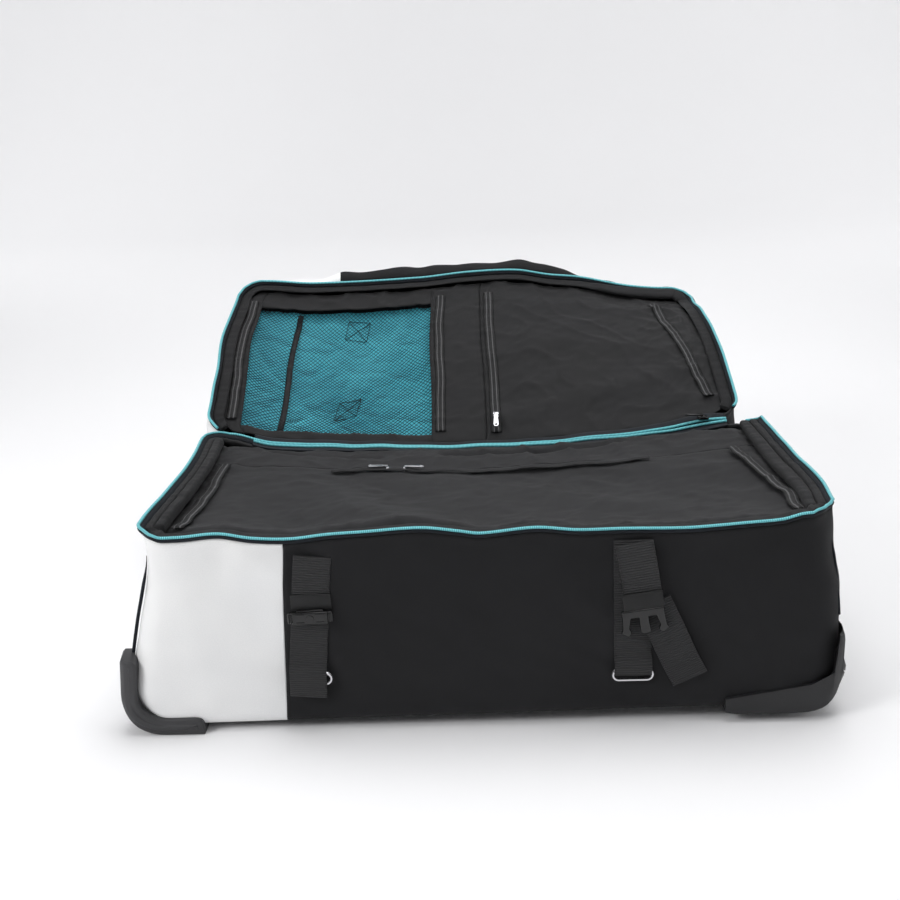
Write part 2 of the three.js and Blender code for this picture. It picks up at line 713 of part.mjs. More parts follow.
const elastic = { width: 43, height: 17, thickness: 1.6 };

// A strap bends where its own rows say and where the wall under it does
function strap(rows) {
  const low = rows[rows.length - 1].z;
  const bends = lowerSections.map((row) => lowerSize.bottom + row.up * lowerDepth);
  const between = bends.filter((z) => z > low + 1 && z < rows[0].z - 1);
  const heights = [...rows.map((row) => row.z), ...between].sort((a, b) => b - a);
  const spaced = heights.filter((z, i) => i === 0 || heights[i - 1] - z > 0.5);
  const line = spaced.map((z) => {
    const row = easedRow(rows, "z", z, 0);
    return onFront(row.x, z, row.off);
  });
  return band(line, forward, flatSection(webbing.width, webbing.thickness));
}

function elasticBand({ x, z, off, lean }) {
  const half = elastic.height / 2;
  const line = [onFront(x - lean * half, z + half, off), onFront(x + lean * half, z - half, off)];
  return band(line, forward, flatSection(elastic.width, elastic.thickness));
}

const buckle = { width: 56, height: 17, depth: 12, edge: 2.5 };
const prongs = { width: 45, bar: 9, length: 30, thickness: 5, edge: 1 };

function closedBuckle() {
  const w = buckle.width / 2;
  const h = buckle.height / 2;
  const shape = outline([
    [-w, -h + 5],
    [-w + 5, -h],
    [w - 4, -h + 1],
    [w, -h + 5],
    [w - 1, h - 5],
    [w - 6, h - 1],
    [-w + 12, h],
    [-w + 2, h - 2],
  ]);
  return slab(shape, 0, buckle.depth, buckle.edge);
}

function maleBuckle() {
  const w = prongs.width / 2;
  const low = -prongs.length;
  const shape = outline([
    [-w, 0],
    [-w, -prongs.bar],
    [-w - 1, low + 9],
    [-w - 3, low + 5],
    [-w + 4, low],
    [-w + 8, low + 4],
    [-w + 6, low + 10],
    [-w + 9, -prongs.bar],
    [-5, -prongs.bar],
    [-5, low + 4],
    [-3, low + 2],
    [4, low + 2],
    [6, low + 4],
    [5, -prongs.bar],
    [w - 9, -prongs.bar],
    [w - 6, low + 10],
    [w - 8, low + 4],
    [w - 4, low],
    [w + 3, low + 5],
    [w + 1, low + 9],
    [w, -prongs.bar],
    [w, 0],
  ]);
  return slab(shape, 0, prongs.thickness, prongs.edge);
}

// Points round a slot-shaped loop that lies in the plane of the front
function roundedLoop(width, height, corner) {
  const w = width / 2 - corner;
  const h = height / 2 - corner;
  const points = [];
  for (const [cx, cz, start] of [[w, h, 0], [-w, h, 1], [-w, -h, 2], [w, -h, 3]]) {
    for (let i = 0; i <= 4; i += 1) {
      const angle = ((start + i / 4) * Math.PI) / 2;
      points.push(new THREE.Vector3(cx + corner * Math.cos(angle), 0, cz + corner * Math.sin(angle)));
    }
  }
  return points;
}

function wireRing() {
  const r = ring.wire / 2;
  const bend = (ring.height - ring.wire) / 2 - 0.2;
  const middle = roundedLoop(ring.width - ring.wire, ring.height - ring.wire, bend);
  const rings = middle.map((point, i) => {
    const next = middle[(i + 1) % middle.length];
    const before = middle[(i + middle.length - 1) % middle.length];
    const along = next.clone().sub(before).normalize();
    const outwards = new THREE.Vector3(along.z, 0, -along.x);
    return Array.from({ length: 6 }, (_, k) => {
      const angle = (k * Math.PI) / 3;
      const spot = point.clone().addScaledVector(outwards, r * Math.cos(angle));
      return spot.add(new THREE.Vector3(0, r * Math.sin(angle), 0));
    });
  });
  return loft(rings, "wrap");
}

// Zip sliders and their pull tabs
function sliderBody() {
  const { length, width, height } = slider;
  const shape = outline([
    [-length / 2, 0],
    [length / 2, 0],
    [length / 2 - 1, height * 0.6],
    [length * 0.2, height * 0.7],
    [length * 0.1, height],
    [-length * 0.1, height],
    [-length * 0.2, height * 0.7],
    [-length / 2 + 1, height * 0.6],
  ]);
  return slab(shape, -width / 2, width / 2);
}

// A tab lies flat, its eye over the slider, its length along +X
function tabBody() {
  const { length, width, thickness, hole } = tab;
  const half = width / 2;
  const shape = new THREE.Shape();
  shape.moveTo(0, -half * 0.7);
  shape.lineTo(length - half, -half);
  shape.absarc(length - half, 0, half, -Math.PI / 2, Math.PI / 2, false);
  shape.lineTo(0, half * 0.7);
  const eye = new THREE.Path().absarc(length - half, 0, hole, 0, 2 * Math.PI, true);
  shape.holes.push(eye);
  const options = { depth: thickness, bevelEnabled: false, curveSegments: 4 };
  return new THREE.ExtrudeGeometry(shape, options);
}

// Assembly
const bag = new THREE.Group();
const lowerHalf = new THREE.Group();
const lid = new THREE.Group();
lid.position.set(0, hinge.y, hinge.z);
lid.rotation.x = lidTilt;
bag.add(lowerHalf, lid);

const finishes = {
  black: finish(colours.black, 0.85, 0),
  panel: finish(colours.panel, 0.9, 0),
  tape: finish(colours.tape, 0.8, 0),
  white: finish(colours.white, 0.6, 0),
  teal: finish(colours.teal, 0.5, 0),
  lining: finish(colours.lining, 0.7, 0),
  plastic: finish(colours.plastic, 0.5, 0),
  gloss: finish(colours.gloss, 0.25, 0),
  silver: finish(colours.silver, 0.3, 1),
  tyre: finish(colours.tyre, 0.7, 0),
};

function piece(parent, name, geometry, material) {
  const mesh = new THREE.Mesh(geometry, material);
  mesh.name = name;
  parent.add(mesh);
  return mesh;
}

// Lower half: walls, base, guards, wheels
const cutForWheels = (solid) => {
  const front = toSolid(housingBox(gap));
  return solid.subtract(front).subtract(front.mirror([0, 1, 0]));
};
const lowerWalls = cutForWheels(lowerRing);
const whiteSide = beside(seam.bottom, seam.top, -1);
const blackSide = beside(seam.bottom, seam.top, 1);
piece(lowerHalf, "lower_wall_white", toGeometry(lowerWalls.intersect(whiteSide)), finishes.white);
piece(lowerHalf, "lower_wall_black", toGeometry(lowerWalls.intersect(blackSide)), finishes.black);

function baseBoard() {
  const rim = roundPlaces.map((place) => lowerCase(place, 0, -clothWall - gap));
  const top = rim.map((p) => p.clone().setZ(p.z + boardThickness));
  return toGeometry(cutForWheels(toSolid(loft([rim, top], "fan"))));
}
piece(lowerHalf, "base_board", baseBoard(), finishes.black);

const filled = filledLower(gap);
piece(lowerHalf, "corner_guard_front", cornerGuard(filled, -1), finishes.plastic);
piece(lowerHalf, "corner_guard_back", cornerGuard(filled, 1), finishes.plastic);
piece(lowerHalf, "wheel_housing_front", wheelHousing(filled, -1), finishes.plastic);
piece(lowerHalf, "wheel_housing_back", wheelHousing(filled, 1), finishes.plastic);
for (const [name, y] of [["wheel_front", wheelMiddle], ["wheel_back", -wheelMiddle]]) {
  piece(lowerHalf, name, wheelGeometry(), finishes.tyre).position.set(wheelX, y, wheel.radius);
}

// Cords sewn into the upright corners, above the plastic
const cornerFlat = lowerSize.corner * (1 - Math.cos(Math.PI / 4 / steps.corner)); // a facet's stand-in
const pipingRows = [
  { name: "piping_left_front", place: 7.5, from: guard.top + 1 },
  { name: "piping_left_back", place: 5.5, from: guard.top + 1 },
  { name: "piping_right_front", place: 1.5, from: housing.top + 1 },
  { name: "piping_right_back", place: 3.5, from: housing.top + 1 },
];
for (const row of pipingRows) {
  const low = (row.from - lowerSize.bottom) / (lowerSize.rim - lowerSize.bottom);
  const rings = [];
  for (let i = 0; i <= 6; i += 1) {
    const up = THREE.MathUtils.lerp(low, 0.93, i / 6);
    const middle = lowerCase(row.place, up, piping + 2 * gap - cornerFlat);
    rings.push(
      Array.from({ length: 6 }, (_, k) => {
        const angle = (k * Math.PI) / 3;
        const turned = new THREE.Vector3(piping * Math.cos(angle), piping * Math.sin(angle), 0);
        return middle.clone().add(turned);
      }),
    );
  }
  piece(lowerHalf, row.name, loft(rings), finishes.tape);
}

// Rims: a standing tape with the teal coil along its top, open on three sides of each half
const tapeSection = [
  { out: -rimTape.thickness, up: rimTape.height },
  { out: 0, up: rimTape.height },
  { out: 0, up: gap },
  { out: -rimTape.thickness, up: gap },
];
const coilSection = roundSection(
  -rimTape.thickness / 2 + 0.6,
  rimTape.height + gap + coil.height / 2,
  coil.width / 2,
  coil.height / 2,
  5,
);
const facingSection = (start) => [
  { out: -start, up: -facing.below },
  { out: -start - facing.width * 0.4, up: -facing.below + 1 },
  { out: -start - facing.width, up: -facing.below - 2 },
  { out: -start - facing.width, up: -facing.below - facing.height },
  { out: -start, up: -facing.below - facing.height - 3 },
];
const lowerFacing = clothWall + facing.apart;
const lidFacing = lidWall + facing.lidApart;
const rims = [
  { half: lowerHalf, name: "lower", surface: lowerCase, depth: lowerDepth, start: lowerFacing, from: 5.6 },
  { half: lid, name: "lid", surface: lidCase, depth: lidDepth, start: lidFacing, from: 1.6 },
];
const rimRun = 5.8; // places from one end of the hinge round to the other
for (const rim of rims) {
  const places = placesBetween(rim.from, rim.from + rimRun, steps.side, steps.corner);
  const strip = (section) => alongRim(rim.surface, rim.depth, places, section);
  piece(rim.half, rim.name + "_rim_tape", strip(tapeSection), finishes.tape);
  piece(rim.half, rim.name + "_rim_coil", strip(coilSection), finishes.teal);
  piece(rim.half, rim.name + "_facing", strip(facingSection(rim.start)), finishes.panel);
}

// Padded rolls inside the two ends of the lower half
const rollFlat = roll.radius * Math.cos(Math.PI / roll.sides);
const rollOut = -lowerFacing - facing.width - 2 * gap - rollFlat;
const rollEnd = 0.001; // how far short of the corner, as a share of the end
const rollSection = roundSection(rollOut, -roll.below, roll.radius, roll.radius, roll.sides);
for (const [name, start] of [["lower_roll_left", 6], ["lower_roll_right", 2]]) {
  const places = placesBetween(start + rollEnd, start + 1 - rollEnd, steps.side, steps.corner);
  piece(lowerHalf, name, alongRim(lowerCase, lowerDepth, places, rollSection), finishes.panel);
}

// The zipped cover over the lower half
const coverInset = -rollOut + roll.radius - cover.under;
const coverRise = hingeSag * 0.35; // the cover follows the sag of the hinge only in part
const coverFlat = spread(lowerCase, lowerSize, cover.below, coverInset);
const coverTop = (u, w) => {
  const point = coverFlat(u, w);
  const across = Math.sqrt(Math.max(Math.sin(Math.PI * u), 0));
  const rise = coverRise * w * w * across;
  point.z += ridgesAt(coverRidges, u, w) - cover.sag * hollow(u, w) + rise;
  return point;
};
const coverRange = { left: 0, right: 1, front: 0, back: cover.backZip };
const coverFacets = { across: 15, deep: 6 };
const coverFace = faceOf(coverTop, coverRange, coverFacets);
piece(lowerHalf, "cover_panel", sheet(coverTop, coverRange, coverFacets, thinCloth), finishes.panel);
piece(
  lowerHalf,
  "hinge_flap",
  sheet(
    (u, w) => coverTop(u, w),
    { left: 0, right: 1, front: cover.backZip + 0.003, back: 0.98 },
    { across: 15, deep: 4 },
    thinCloth,
  ),
  finishes.black,
);

// The top of a sheet as its facets have it, between the corners of its grid
function faceted(top, range, facets) {
  const corner = (i, j) =>
    top(
      THREE.MathUtils.lerp(range.left, range.right, i / facets.across),
      THREE.MathUtils.lerp(range.front, range.back, j / facets.deep),
    );
  return (u, w) => {
    const across = ((u - range.left) / (range.right - range.left)) * facets.across;
    const deep = ((w - range.front) / (range.back - range.front)) * facets.deep;
    const i = THREE.MathUtils.clamp(Math.floor(across), 0, facets.across - 1);
    const j = THREE.MathUtils.clamp(Math.floor(deep), 0, facets.deep - 1);
    const first = corner(i, j);
    const last = corner(i + 1, j + 1);
    const onFrontHalf = across - i > deep - j;
    const bend = onFrontHalf ? corner(i + 1, j) : corner(i, j + 1);
    const near = onFrontHalf ? across - i : deep - j;
    const beyond = onFrontHalf ? deep - j : across - i;
    const point = first.clone().addScaledVector(bend.clone().sub(first), near);
    return point.addScaledVector(last.sub(bend), beyond);
  };
}

function faceOf(top, range, facets) {
  return { top: faceted(top, range, facets), range, facets };
}

// Points a little above a sheet, clear of it over a band's whole width
const zipHalf = { u: 0.0155, w: 0.04 };

function lineOn(top, rows, lift, runsBack) {
  const du = runsBack ? zipHalf.u : 0;
  const dw = runsBack ? 0 : zipHalf.w;
  return rows.map(({ u, w }) => {
    const heights = [-1, 0, 1].map((side) => top(u + side * du, w + side * dw).z);
    return top(u, w).setZ(Math.max(...heights) + lift);
  });
}

// A zip between two places on a sheet, bent where the sheet's own facets are
function zipAcross(face, from, to, lift) {
  const runsBack = Math.abs(to.w - from.w) > Math.abs(to.u - from.u);
  const { range, facets } = face;
  const [key, start, end, count] = runsBack
    ? ["w", range.front, range.back, facets.deep]
    : ["u", range.left, range.right, facets.across];
  const lines = Array.from({ length: count + 1 }, (_, i) => THREE.MathUtils.lerp(start, end, i / count));
  const inside = lines.filter((line) => line > from[key] + 0.01 && line < to[key] - 0.01);
  const rows = [from[key], ...inside, to[key]].map((stop) => {
    const share = (stop - from[key]) / (to[key] - from[key]);
    return { u: THREE.MathUtils.lerp(from.u, to.u, share), w: THREE.MathUtils.lerp(from.w, to.w, share) };
  });
  return band(lineOn(face.top, rows, lift, runsBack), skyward, zipSection);
}
const zipLift = 0.6;

piece(
  lowerHalf,
  "cover_zip_left",
  zipAcross(coverFace, { u: 0.03, w: 0.06 }, { u: 0.03, w: 0.72 }, zipLift),
  finishes.tape,
);
piece(
  lowerHalf,
  "cover_zip_right",
  zipAcross(coverFace, { u: 0.97, w: 0.06 }, { u: 0.96, w: 0.72 }, zipLift),
  finishes.tape,
);
piece(
  lowerHalf,
  "cover_zip_back",
  zipAcross(coverFace, { u: 0.22, w: cover.backZip - 0.04 }, { u: 0.8, w: cover.backZip - 0.04 }, zipLift),
  finishes.tape,
);

// Lid: shell, inner frame with its net window, pocket panel, zips
piece(lid, "lid_shell_white", toGeometry(lidTray.intersect(beside(seam.lid, seam.lid, -1))), finishes.white);
piece(lid, "lid_shell_black", toGeometry(lidTray.intersect(beside(seam.lid, seam.lid, 1))), finishes.black);

const lidPanel = { below: 6, sag: 6, split: 0.53, apart: 0.5 };
const lidPanelInset = lidFacing + facing.width + lidPanel.apart;
const netWindow = { left: 0.038, right: 0.42, front: 0.04, back: 0.88 };
const net = { thickness: 1.2, sag: 24, overlap: 0.012, below: 4.4, apart: 6.6 };
const lidFlat = spread(lidCase, lidSize, lidPanel.below, lidPanelInset);
const lidTop = (u, w) => {
  const point = lidFlat(u, w);
  point.z += ridgesAt(pocketRidges, u, w) - lidPanel.sag * hollow(u, w);
  return point;
};
const frameRange = { left: 0, right: lidPanel.split, front: 0, back: 1 };
const frameFacets = { across: 10, deep: 8 };
const frameSheet = sheet(lidTop, frameRange, frameFacets, thinCloth);
const windowCut = sheet(
  (u, w) => lidTop(u, w).add(new THREE.Vector3(0, 0, 10)),
  netWindow,
  { across: 4, deep: 4 },
  30,
);
piece(lid, "lid_frame", toGeometry(toSolid(frameSheet).subtract(toSolid(windowCut))), finishes.panel);

const netRange = {
  left: netWindow.left - net.overlap,
  right: netWindow.right + net.overlap,
  front: netWindow.front - net.overlap,
  back: netWindow.back + net.overlap,
};
const netTop = (lower, u, w) => {
  const across = (u - netRange.left) / (netRange.right - netRange.left);
  const deep = (w - netRange.front) / (netRange.back - netRange.front);
  const point = lidTop(u, w);
  point.z -= net.below + lower + net.sag * Math.pow(hollow(across, deep), 0.6);
  return point;
};
const netFacets = { across: 7, deep: 7 };
const netSheet = sheet((u, w) => netTop(0, u, w), netRange, netFacets, net.thickness);
const liningSheet = sheet((u, w) => netTop(net.apart, u, w), netRange, netFacets, thinCloth);
piece(lid, "net_window", netSheet, finishes.tape);
piece(lid, "net_lining", liningSheet, finishes.lining);
const pocketRange = { left: lidPanel.split + 0.0008, right: 1, front: 0, back: 1 };
const pocketFacets = { across: 8, deep: 8 };
const frameFace = faceOf(lidTop, frameRange, frameFacets);
const pocketFace = faceOf(lidTop, pocketRange, pocketFacets);
piece(lid, "lid_pocket_panel", sheet(lidTop, pocketRange, pocketFacets, thinCloth), finishes.panel);
const lidZips = [
  { name: "lid_zip_left", from: { u: 0.02, w: 0.08 }, to: { u: 0.018, w: 0.92 } },
  { name: "lid_zip_centre", from: { u: 0.438, w: 0.05 }, to: { u: 0.442, w: 0.92 } },
  { name: "lid_zip_second", from: { u: 0.55, w: 0.04 }, to: { u: 0.55, w: 0.91 } },
  { name: "lid_zip_right", from: { u: 0.975, w: 0.1 }, to: { u: 0.92, w: 0.88 } },
];
for (const row of lidZips) {
  const face = row.from.u < lidPanel.split ? frameFace : pocketFace;
  piece(lid, row.name, zipAcross(face, row.from, row.to, zipLift), finishes.tape);
}

// The closed zip along the hinge: its tape lies on both rims
const hingeTape = { width: 26, thickness: 1.8, above: 0.5, aboveLid: -0.2, from: -304, to: 306 };
const tilted = (point) => point.applyAxisAngle(new THREE.Vector3(1, 0, 0), lidTilt).add(lid.position);
const rimShares = Array.from({ length: steps.side + 1 }, (_, i) => i / steps.side);
const nearRim = rimShares.map((share) => lowerCase(placeOf("back", share), 1, 0));
const lidRim = rimShares.map((share) => tilted(lidCase(placeOf("front", share), 1, 0)));

function heightAt(rimLine, x) {
  const next = Math.max(rimLine.findIndex((p) => p.x >= x), 1);
  const [a, b] = [rimLine[next - 1], rimLine[next]];
  return THREE.MathUtils.lerp(a.z, b.z, (x - a.x) / (b.x - a.x));
}

const stops = [...nearRim, ...lidRim]
  .map((p) => p.x)
  .filter((x) => x > hingeTape.from + 4 && x < hingeTape.to - 4)
  .concat([hingeTape.from, hingeTape.to])
  .sort((a, b) => a - b)
  .filter((x, i, all) => i === 0 || x - all[i - 1] > 2);
const hingeLine = stops.map((x) => {
  const nearZ = heightAt(nearRim, x) + hingeTape.above;
  const lidZ = heightAt(lidRim, x) + hingeTape.aboveLid;
  const middle = (nearRim[1].y + lidRim[1].y) / 2;
  return { x, middle, nearZ, lidZ };
});
const lean = Math.tan(lidTilt);
const hingeRing = ({ x, middle, nearZ, lidZ }) => {
  const half = hingeTape.width / 2;
  const over = [
    [middle - half, nearZ],
    [middle - 1, nearZ],
    [middle + 1, lidZ],
    [middle + half, lidZ + half * lean],
  ];
  const top = over.map(([y, z]) => new THREE.Vector3(x, y, z + hingeTape.thickness));
  return [...top, ...over.map(([y, z]) => new THREE.Vector3(x, y, z)).reverse()];
};
const coilRing = ({ x, middle, nearZ, lidZ }) => {
  const half = coil.width * 0.9;
  const nearTop = nearZ + hingeTape.thickness + gap;
  const lidTopZ = lidZ + hingeTape.thickness + gap;
  const under = [
    new THREE.Vector3(x, middle - half, nearTop),
    new THREE.Vector3(x, middle - 1, nearTop),
    new THREE.Vector3(x, middle + 1, lidTopZ),
    new THREE.Vector3(x, middle + half, lidTopZ + half * lean),
  ];
  const high = Math.max(...under.map((p) => p.z)) + coil.height * 0.7;
  const over = [
    new THREE.Vector3(x, middle + half * 0.6, high),
    new THREE.Vector3(x, middle - half * 0.6, high),
  ];
  return [...under, ...over];
};
piece(bag, "hinge_zip_tape", loft(hingeLine.map(hingeRing)), finishes.tape);
piece(bag, "hinge_zip_coil", loft(hingeLine.map(coilRing)), finishes.teal);

// Straps on the front wall
for (const [name, rows] of Object.entries(strapRows)) {
  piece(lowerHalf, name, strap(rows), finishes.black);
}
for (const [name, row] of Object.entries(bandRows)) {
  piece(lowerHalf, name, elasticBand(row), finishes.black);
}
const leftBuckle = piece(lowerHalf, "left_buckle", closedBuckle(), finishes.gloss);
leftBuckle.position.copy(onFront(-183, 137, buckle.depth + 1));
leftBuckle.rotation.y = 0.03;
const rightBuckle = piece(lowerHalf, "right_buckle", maleBuckle(), finishes.gloss);
rightBuckle.position.copy(onFront(173, 138, prongs.thickness + 2 * layer + 1.7));
rightBuckle.rotation.y = -0.14;
for (const [name, x, z] of [["left_ring", -186, 66], ["right_ring", 161, 62]]) {
  piece(lowerHalf, name, wireRing(), finishes.silver).position.copy(onFront(x, z, ring.wire / 2));
}

// Sliders and tabs: each lies along its zip
const pullW = cover.backZip - 0.04;
const pulls = [
  { name: "cover_left", parent: lowerHalf, face: coverFace, u: 0.322, w: pullW, du: -0.01, dw: 0 },
  { name: "cover_right", parent: lowerHalf, face: coverFace, u: 0.352, w: pullW, du: 0.01, dw: 0 },
  { name: "lid", parent: lid, face: pocketFace, u: 0.55, w: 0.11, du: 0, dw: -0.03 },
];
const sliderSeat = zip.height + 2 * gap;
for (const { name, parent, face, u, w, du, dw } of pulls) {
  const spots = [{ u, w }, { u: u - du, w: w - dw }, { u: u + du, w: w + dw }];
  const [under, behind, ahead] = lineOn(face.top, spots, zipLift, dw !== 0);
  const along = ahead.sub(behind).normalize();
  const across = new THREE.Vector3().crossVectors(skyward, along).normalize();
  const upward = new THREE.Vector3().crossVectors(along, across);
  const turned = new THREE.Matrix4().makeBasis(along, across, upward);
  const body = piece(parent, name + "_slider", sliderBody(), finishes.silver);
  body.position.copy(under).addScaledVector(upward, sliderSeat);
  body.quaternion.setFromRotationMatrix(turned);
  const pull = piece(parent, name + "_tab", tabBody(), finishes.silver);
  pull.position.copy(body.position).addScaledVector(upward, slider.height + gap);
  pull.quaternion.copy(body.quaternion);
}

// The slider of the hinge zip, parked at its right end with its tab turned to the left
const parkedAt = coilRing(hingeLine[hingeLine.length - 1]);
const parked = parkedAt[parkedAt.length - 1].clone().add(new THREE.Vector3(0, coil.width * 0.54, gap));
const hingeSlider = piece(bag, "hinge_slider", sliderBody(), finishes.gloss);
hingeSlider.position.copy(parked);
hingeSlider.scale.set(1.4, 1.6, 1);
const hingePull = piece(bag, "hinge_tab", tabBody(), finishes.gloss);
hingePull.position.copy(parked).add(new THREE.Vector3(0, 0, slider.height + gap));
hingePull.rotation.z = Math.PI;

// The whole bag stands with the middle of its outline over the origin and its lowest point on the floor
bag.updateMatrixWorld(true);
const bounds = new THREE.Box3().setFromObject(bag);
const middle = bounds.getCenter(new THREE.Vector3());
bag.position.set(-middle.x, -middle.y, -bounds.min.z);

export default bag;
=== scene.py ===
import math

import bmesh
import bpy
from mathutils import Matrix, Vector, noise


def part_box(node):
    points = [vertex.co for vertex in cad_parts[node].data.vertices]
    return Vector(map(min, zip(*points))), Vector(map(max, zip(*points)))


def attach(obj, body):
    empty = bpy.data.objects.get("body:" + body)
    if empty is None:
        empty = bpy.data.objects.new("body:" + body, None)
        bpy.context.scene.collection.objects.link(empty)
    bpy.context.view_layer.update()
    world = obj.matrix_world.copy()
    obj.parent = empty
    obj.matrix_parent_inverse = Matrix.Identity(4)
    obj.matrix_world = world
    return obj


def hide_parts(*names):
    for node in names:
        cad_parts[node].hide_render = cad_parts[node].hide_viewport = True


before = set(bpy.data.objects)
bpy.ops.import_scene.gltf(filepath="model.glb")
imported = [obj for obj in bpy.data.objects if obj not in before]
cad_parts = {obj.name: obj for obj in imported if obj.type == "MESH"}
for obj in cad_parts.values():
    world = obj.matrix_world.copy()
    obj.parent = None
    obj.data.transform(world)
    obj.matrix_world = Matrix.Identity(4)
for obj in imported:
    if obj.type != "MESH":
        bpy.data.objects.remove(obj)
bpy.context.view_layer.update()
bpy.ops.object.select_all(action="DESELECT")

mm = 0.001
# the bag is laid out in millimetres round its lower half; the front wheel says where that lies in the frame
wheelLow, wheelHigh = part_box("wheel_front")
bagShift = (wheelLow + wheelHigh) / 2 - Vector((0.342, -0.158, 0.032))

camera = {
    "place": Vector((0, -1330, 698)),
    "pixels": 1174,
    "turn": math.radians(1.4),
    "down": math.radians(18.4),
    "tilt": math.radians(-2.05),
}


def setCamera():
    turn, down, tilt = camera["turn"], camera["down"], camera["tilt"]
    ahead = Vector((-math.sin(turn) * math.cos(down), math.cos(turn) * math.cos(down), -math.sin(down)))
    level = Vector((math.cos(turn), math.sin(turn), 0))
    above = level.cross(ahead)
    right = math.cos(tilt) * level + math.sin(tilt) * above
    up = -math.sin(tilt) * level + math.cos(tilt) * above
    bpy.ops.object.camera_add()
    eye = bpy.context.object
    eye.name = "photoCamera"
    spin = Matrix((right, up, -ahead)).transposed().to_4x4()
    eye.matrix_world = Matrix.Translation(camera["place"] * mm + bagShift) @ spin
    eye.data.sensor_width = 36
    eye.data.lens = 36 * camera["pixels"] / 900
    eye.data.clip_start = 0.05
    eye.data.clip_end = 60
    bpy.context.scene.camera = eye


setCamera()
print("camera set")


# Shader helpers: Wire carries a socket through sums, Surface builds the nodes of one finish
class Wire:
    def __init__(self, surface, socket):
        self.surface = surface
        self.socket = socket

    def sum(self, kind, first, second):
        return self.surface.node("ShaderNodeMath", {"operation": kind}, {0: first, 1: second})

    def __add__(self, other):
        return self.sum("ADD", self, other)

    def __radd__(self, other):
        return self.sum("ADD", other, self)

    def __sub__(self, other):
        return self.sum("SUBTRACT", self, other)

    def __rsub__(self, other):
        return self.sum("SUBTRACT", other, self)

    def __mul__(self, other):
        return self.sum("MULTIPLY", self, other)

    def __rmul__(self, other):
        return self.sum("MULTIPLY", other, self)

    def __truediv__(self, other):
        return self.sum("DIVIDE", self, other)

    def __pow__(self, other):
        return self.sum("POWER", self, other)


class Surface:
    def __init__(self, name, fixed):
        self.material = bpy.data.materials.new(name)
        self.material.use_nodes = True
        self.tree = self.material.node_tree
        self.shader = next(n for n in self.tree.nodes if n.type == "BSDF_PRINCIPLED")
        for key, value in fixed.items():
            self.shader.inputs[key].default_value = value

    def node(self, kind, settings=None, inputs=None, output=0):
        made = self.tree.nodes.new(kind)
        for key, value in (settings or {}).items():
            if key == "stops":
                ramp = made.color_ramp
                while len(ramp.elements) < len(value):
                    ramp.elements.new(0.5)
                for element, (place, shade) in zip(ramp.elements, value):
                    element.position = place
                    element.color = (shade, shade, shade, 1)
            else:
                setattr(made, key, value)
        for key, value in (inputs or {}).items():
            if isinstance(value, Wire):
                self.tree.links.new(value.socket, made.inputs[key])
            else:
                made.inputs[key].default_value = value
        return Wire(self, made.outputs[output])

    def feed(self, name, wire):
        self.tree.links.new(wire.socket, self.shader.inputs[name])

    def place(self, kind="UV"):
        return self.node("ShaderNodeTexCoord", {}, {}, kind)

    def noise(self, scale, detail=2.0, kind="Object", rough=0.5):
        spot = self.place(kind)
        inputs = {"Vector": spot, "Scale": scale, "Detail": detail, "Roughness": rough}
        return self.node("ShaderNodeTexNoise", {}, inputs)

    def wave(self, scale, turn=0.0, kind="UV", bend=0.0):
        spot = self.node("ShaderNodeMapping", {}, {"Vector": self.place(kind), "Rotation": (0, 0, turn)})
        inputs = {"Vector": spot, "Scale": scale, "Distortion": bend, "Detail": 1.0, "Detail Scale": 1.5}
        return self.node("ShaderNodeTexWave", {"wave_type": "BANDS"}, inputs, "Fac")

    def between(self, share, first, second):
        # the colour sockets of the Mix node are its inputs 6 and 7 and its output 2
        inputs = {0: share, 6: (*first, 1), 7: (*second, 1)}
        return self.node("ShaderNodeMix", {"data_type": "RGBA"}, inputs, 2)

    def bump(self, height, strength, distance):
        inputs = {"Height": height, "Strength": strength, "Distance": distance}
        self.feed("Normal", self.node("ShaderNodeBump", {}, inputs))


def grey(value):
    # the linear value of an 8-bit grey
    share = value / 255
    return ((share + 0.055) / 1.055) ** 2.4 if share > 0.04045 else share / 12.92


def tone(red, green, blue):
    return (grey(red), grey(green), grey(blue))


# Cloths: the weave is finer than a millimetre, so it is bump on the piece's own map, which is in metres
cloths = {
    "blackTwill": {
        "dark": (18, 18, 20), "light": (28, 28, 30),
        "rough": 0.82, "pitch": 0.0011, "depth": 0.00014,
    },
    "insideCloth": {
        "dark": (21, 21, 23), "light": (34, 34, 36),
        "rough": 0.78, "pitch": 0.0009, "depth": 0.00008,
    },
    "lidCloth": {
        "dark": (16, 16, 17), "light": (26, 26, 28),
        "rough": 0.78, "pitch": 0.0009, "depth": 0.00008,
    },
    "paddedCloth": {
        "dark": (19, 19, 20), "light": (29, 29, 31),
        "rough": 0.85, "pitch": 0.0012, "depth": 0.00012,
    },
    "whiteCloth": {
        "dark": (236, 237, 238), "light": (250, 250, 249),
        "rough": 0.5, "pitch": 0.0010, "depth": 0.00004,
    },
    "tapeCloth": {
        "dark": (16, 20, 26), "light": (24, 29, 36),
        "rough": 0.8, "pitch": 0.0014, "depth": 0.00012,
    },
    "liningCloth": {
        "dark": (40, 142, 162), "light": (92, 204, 222),
        "rough": 0.6, "pitch": 0.0012, "depth": 0.00008,
    },
}


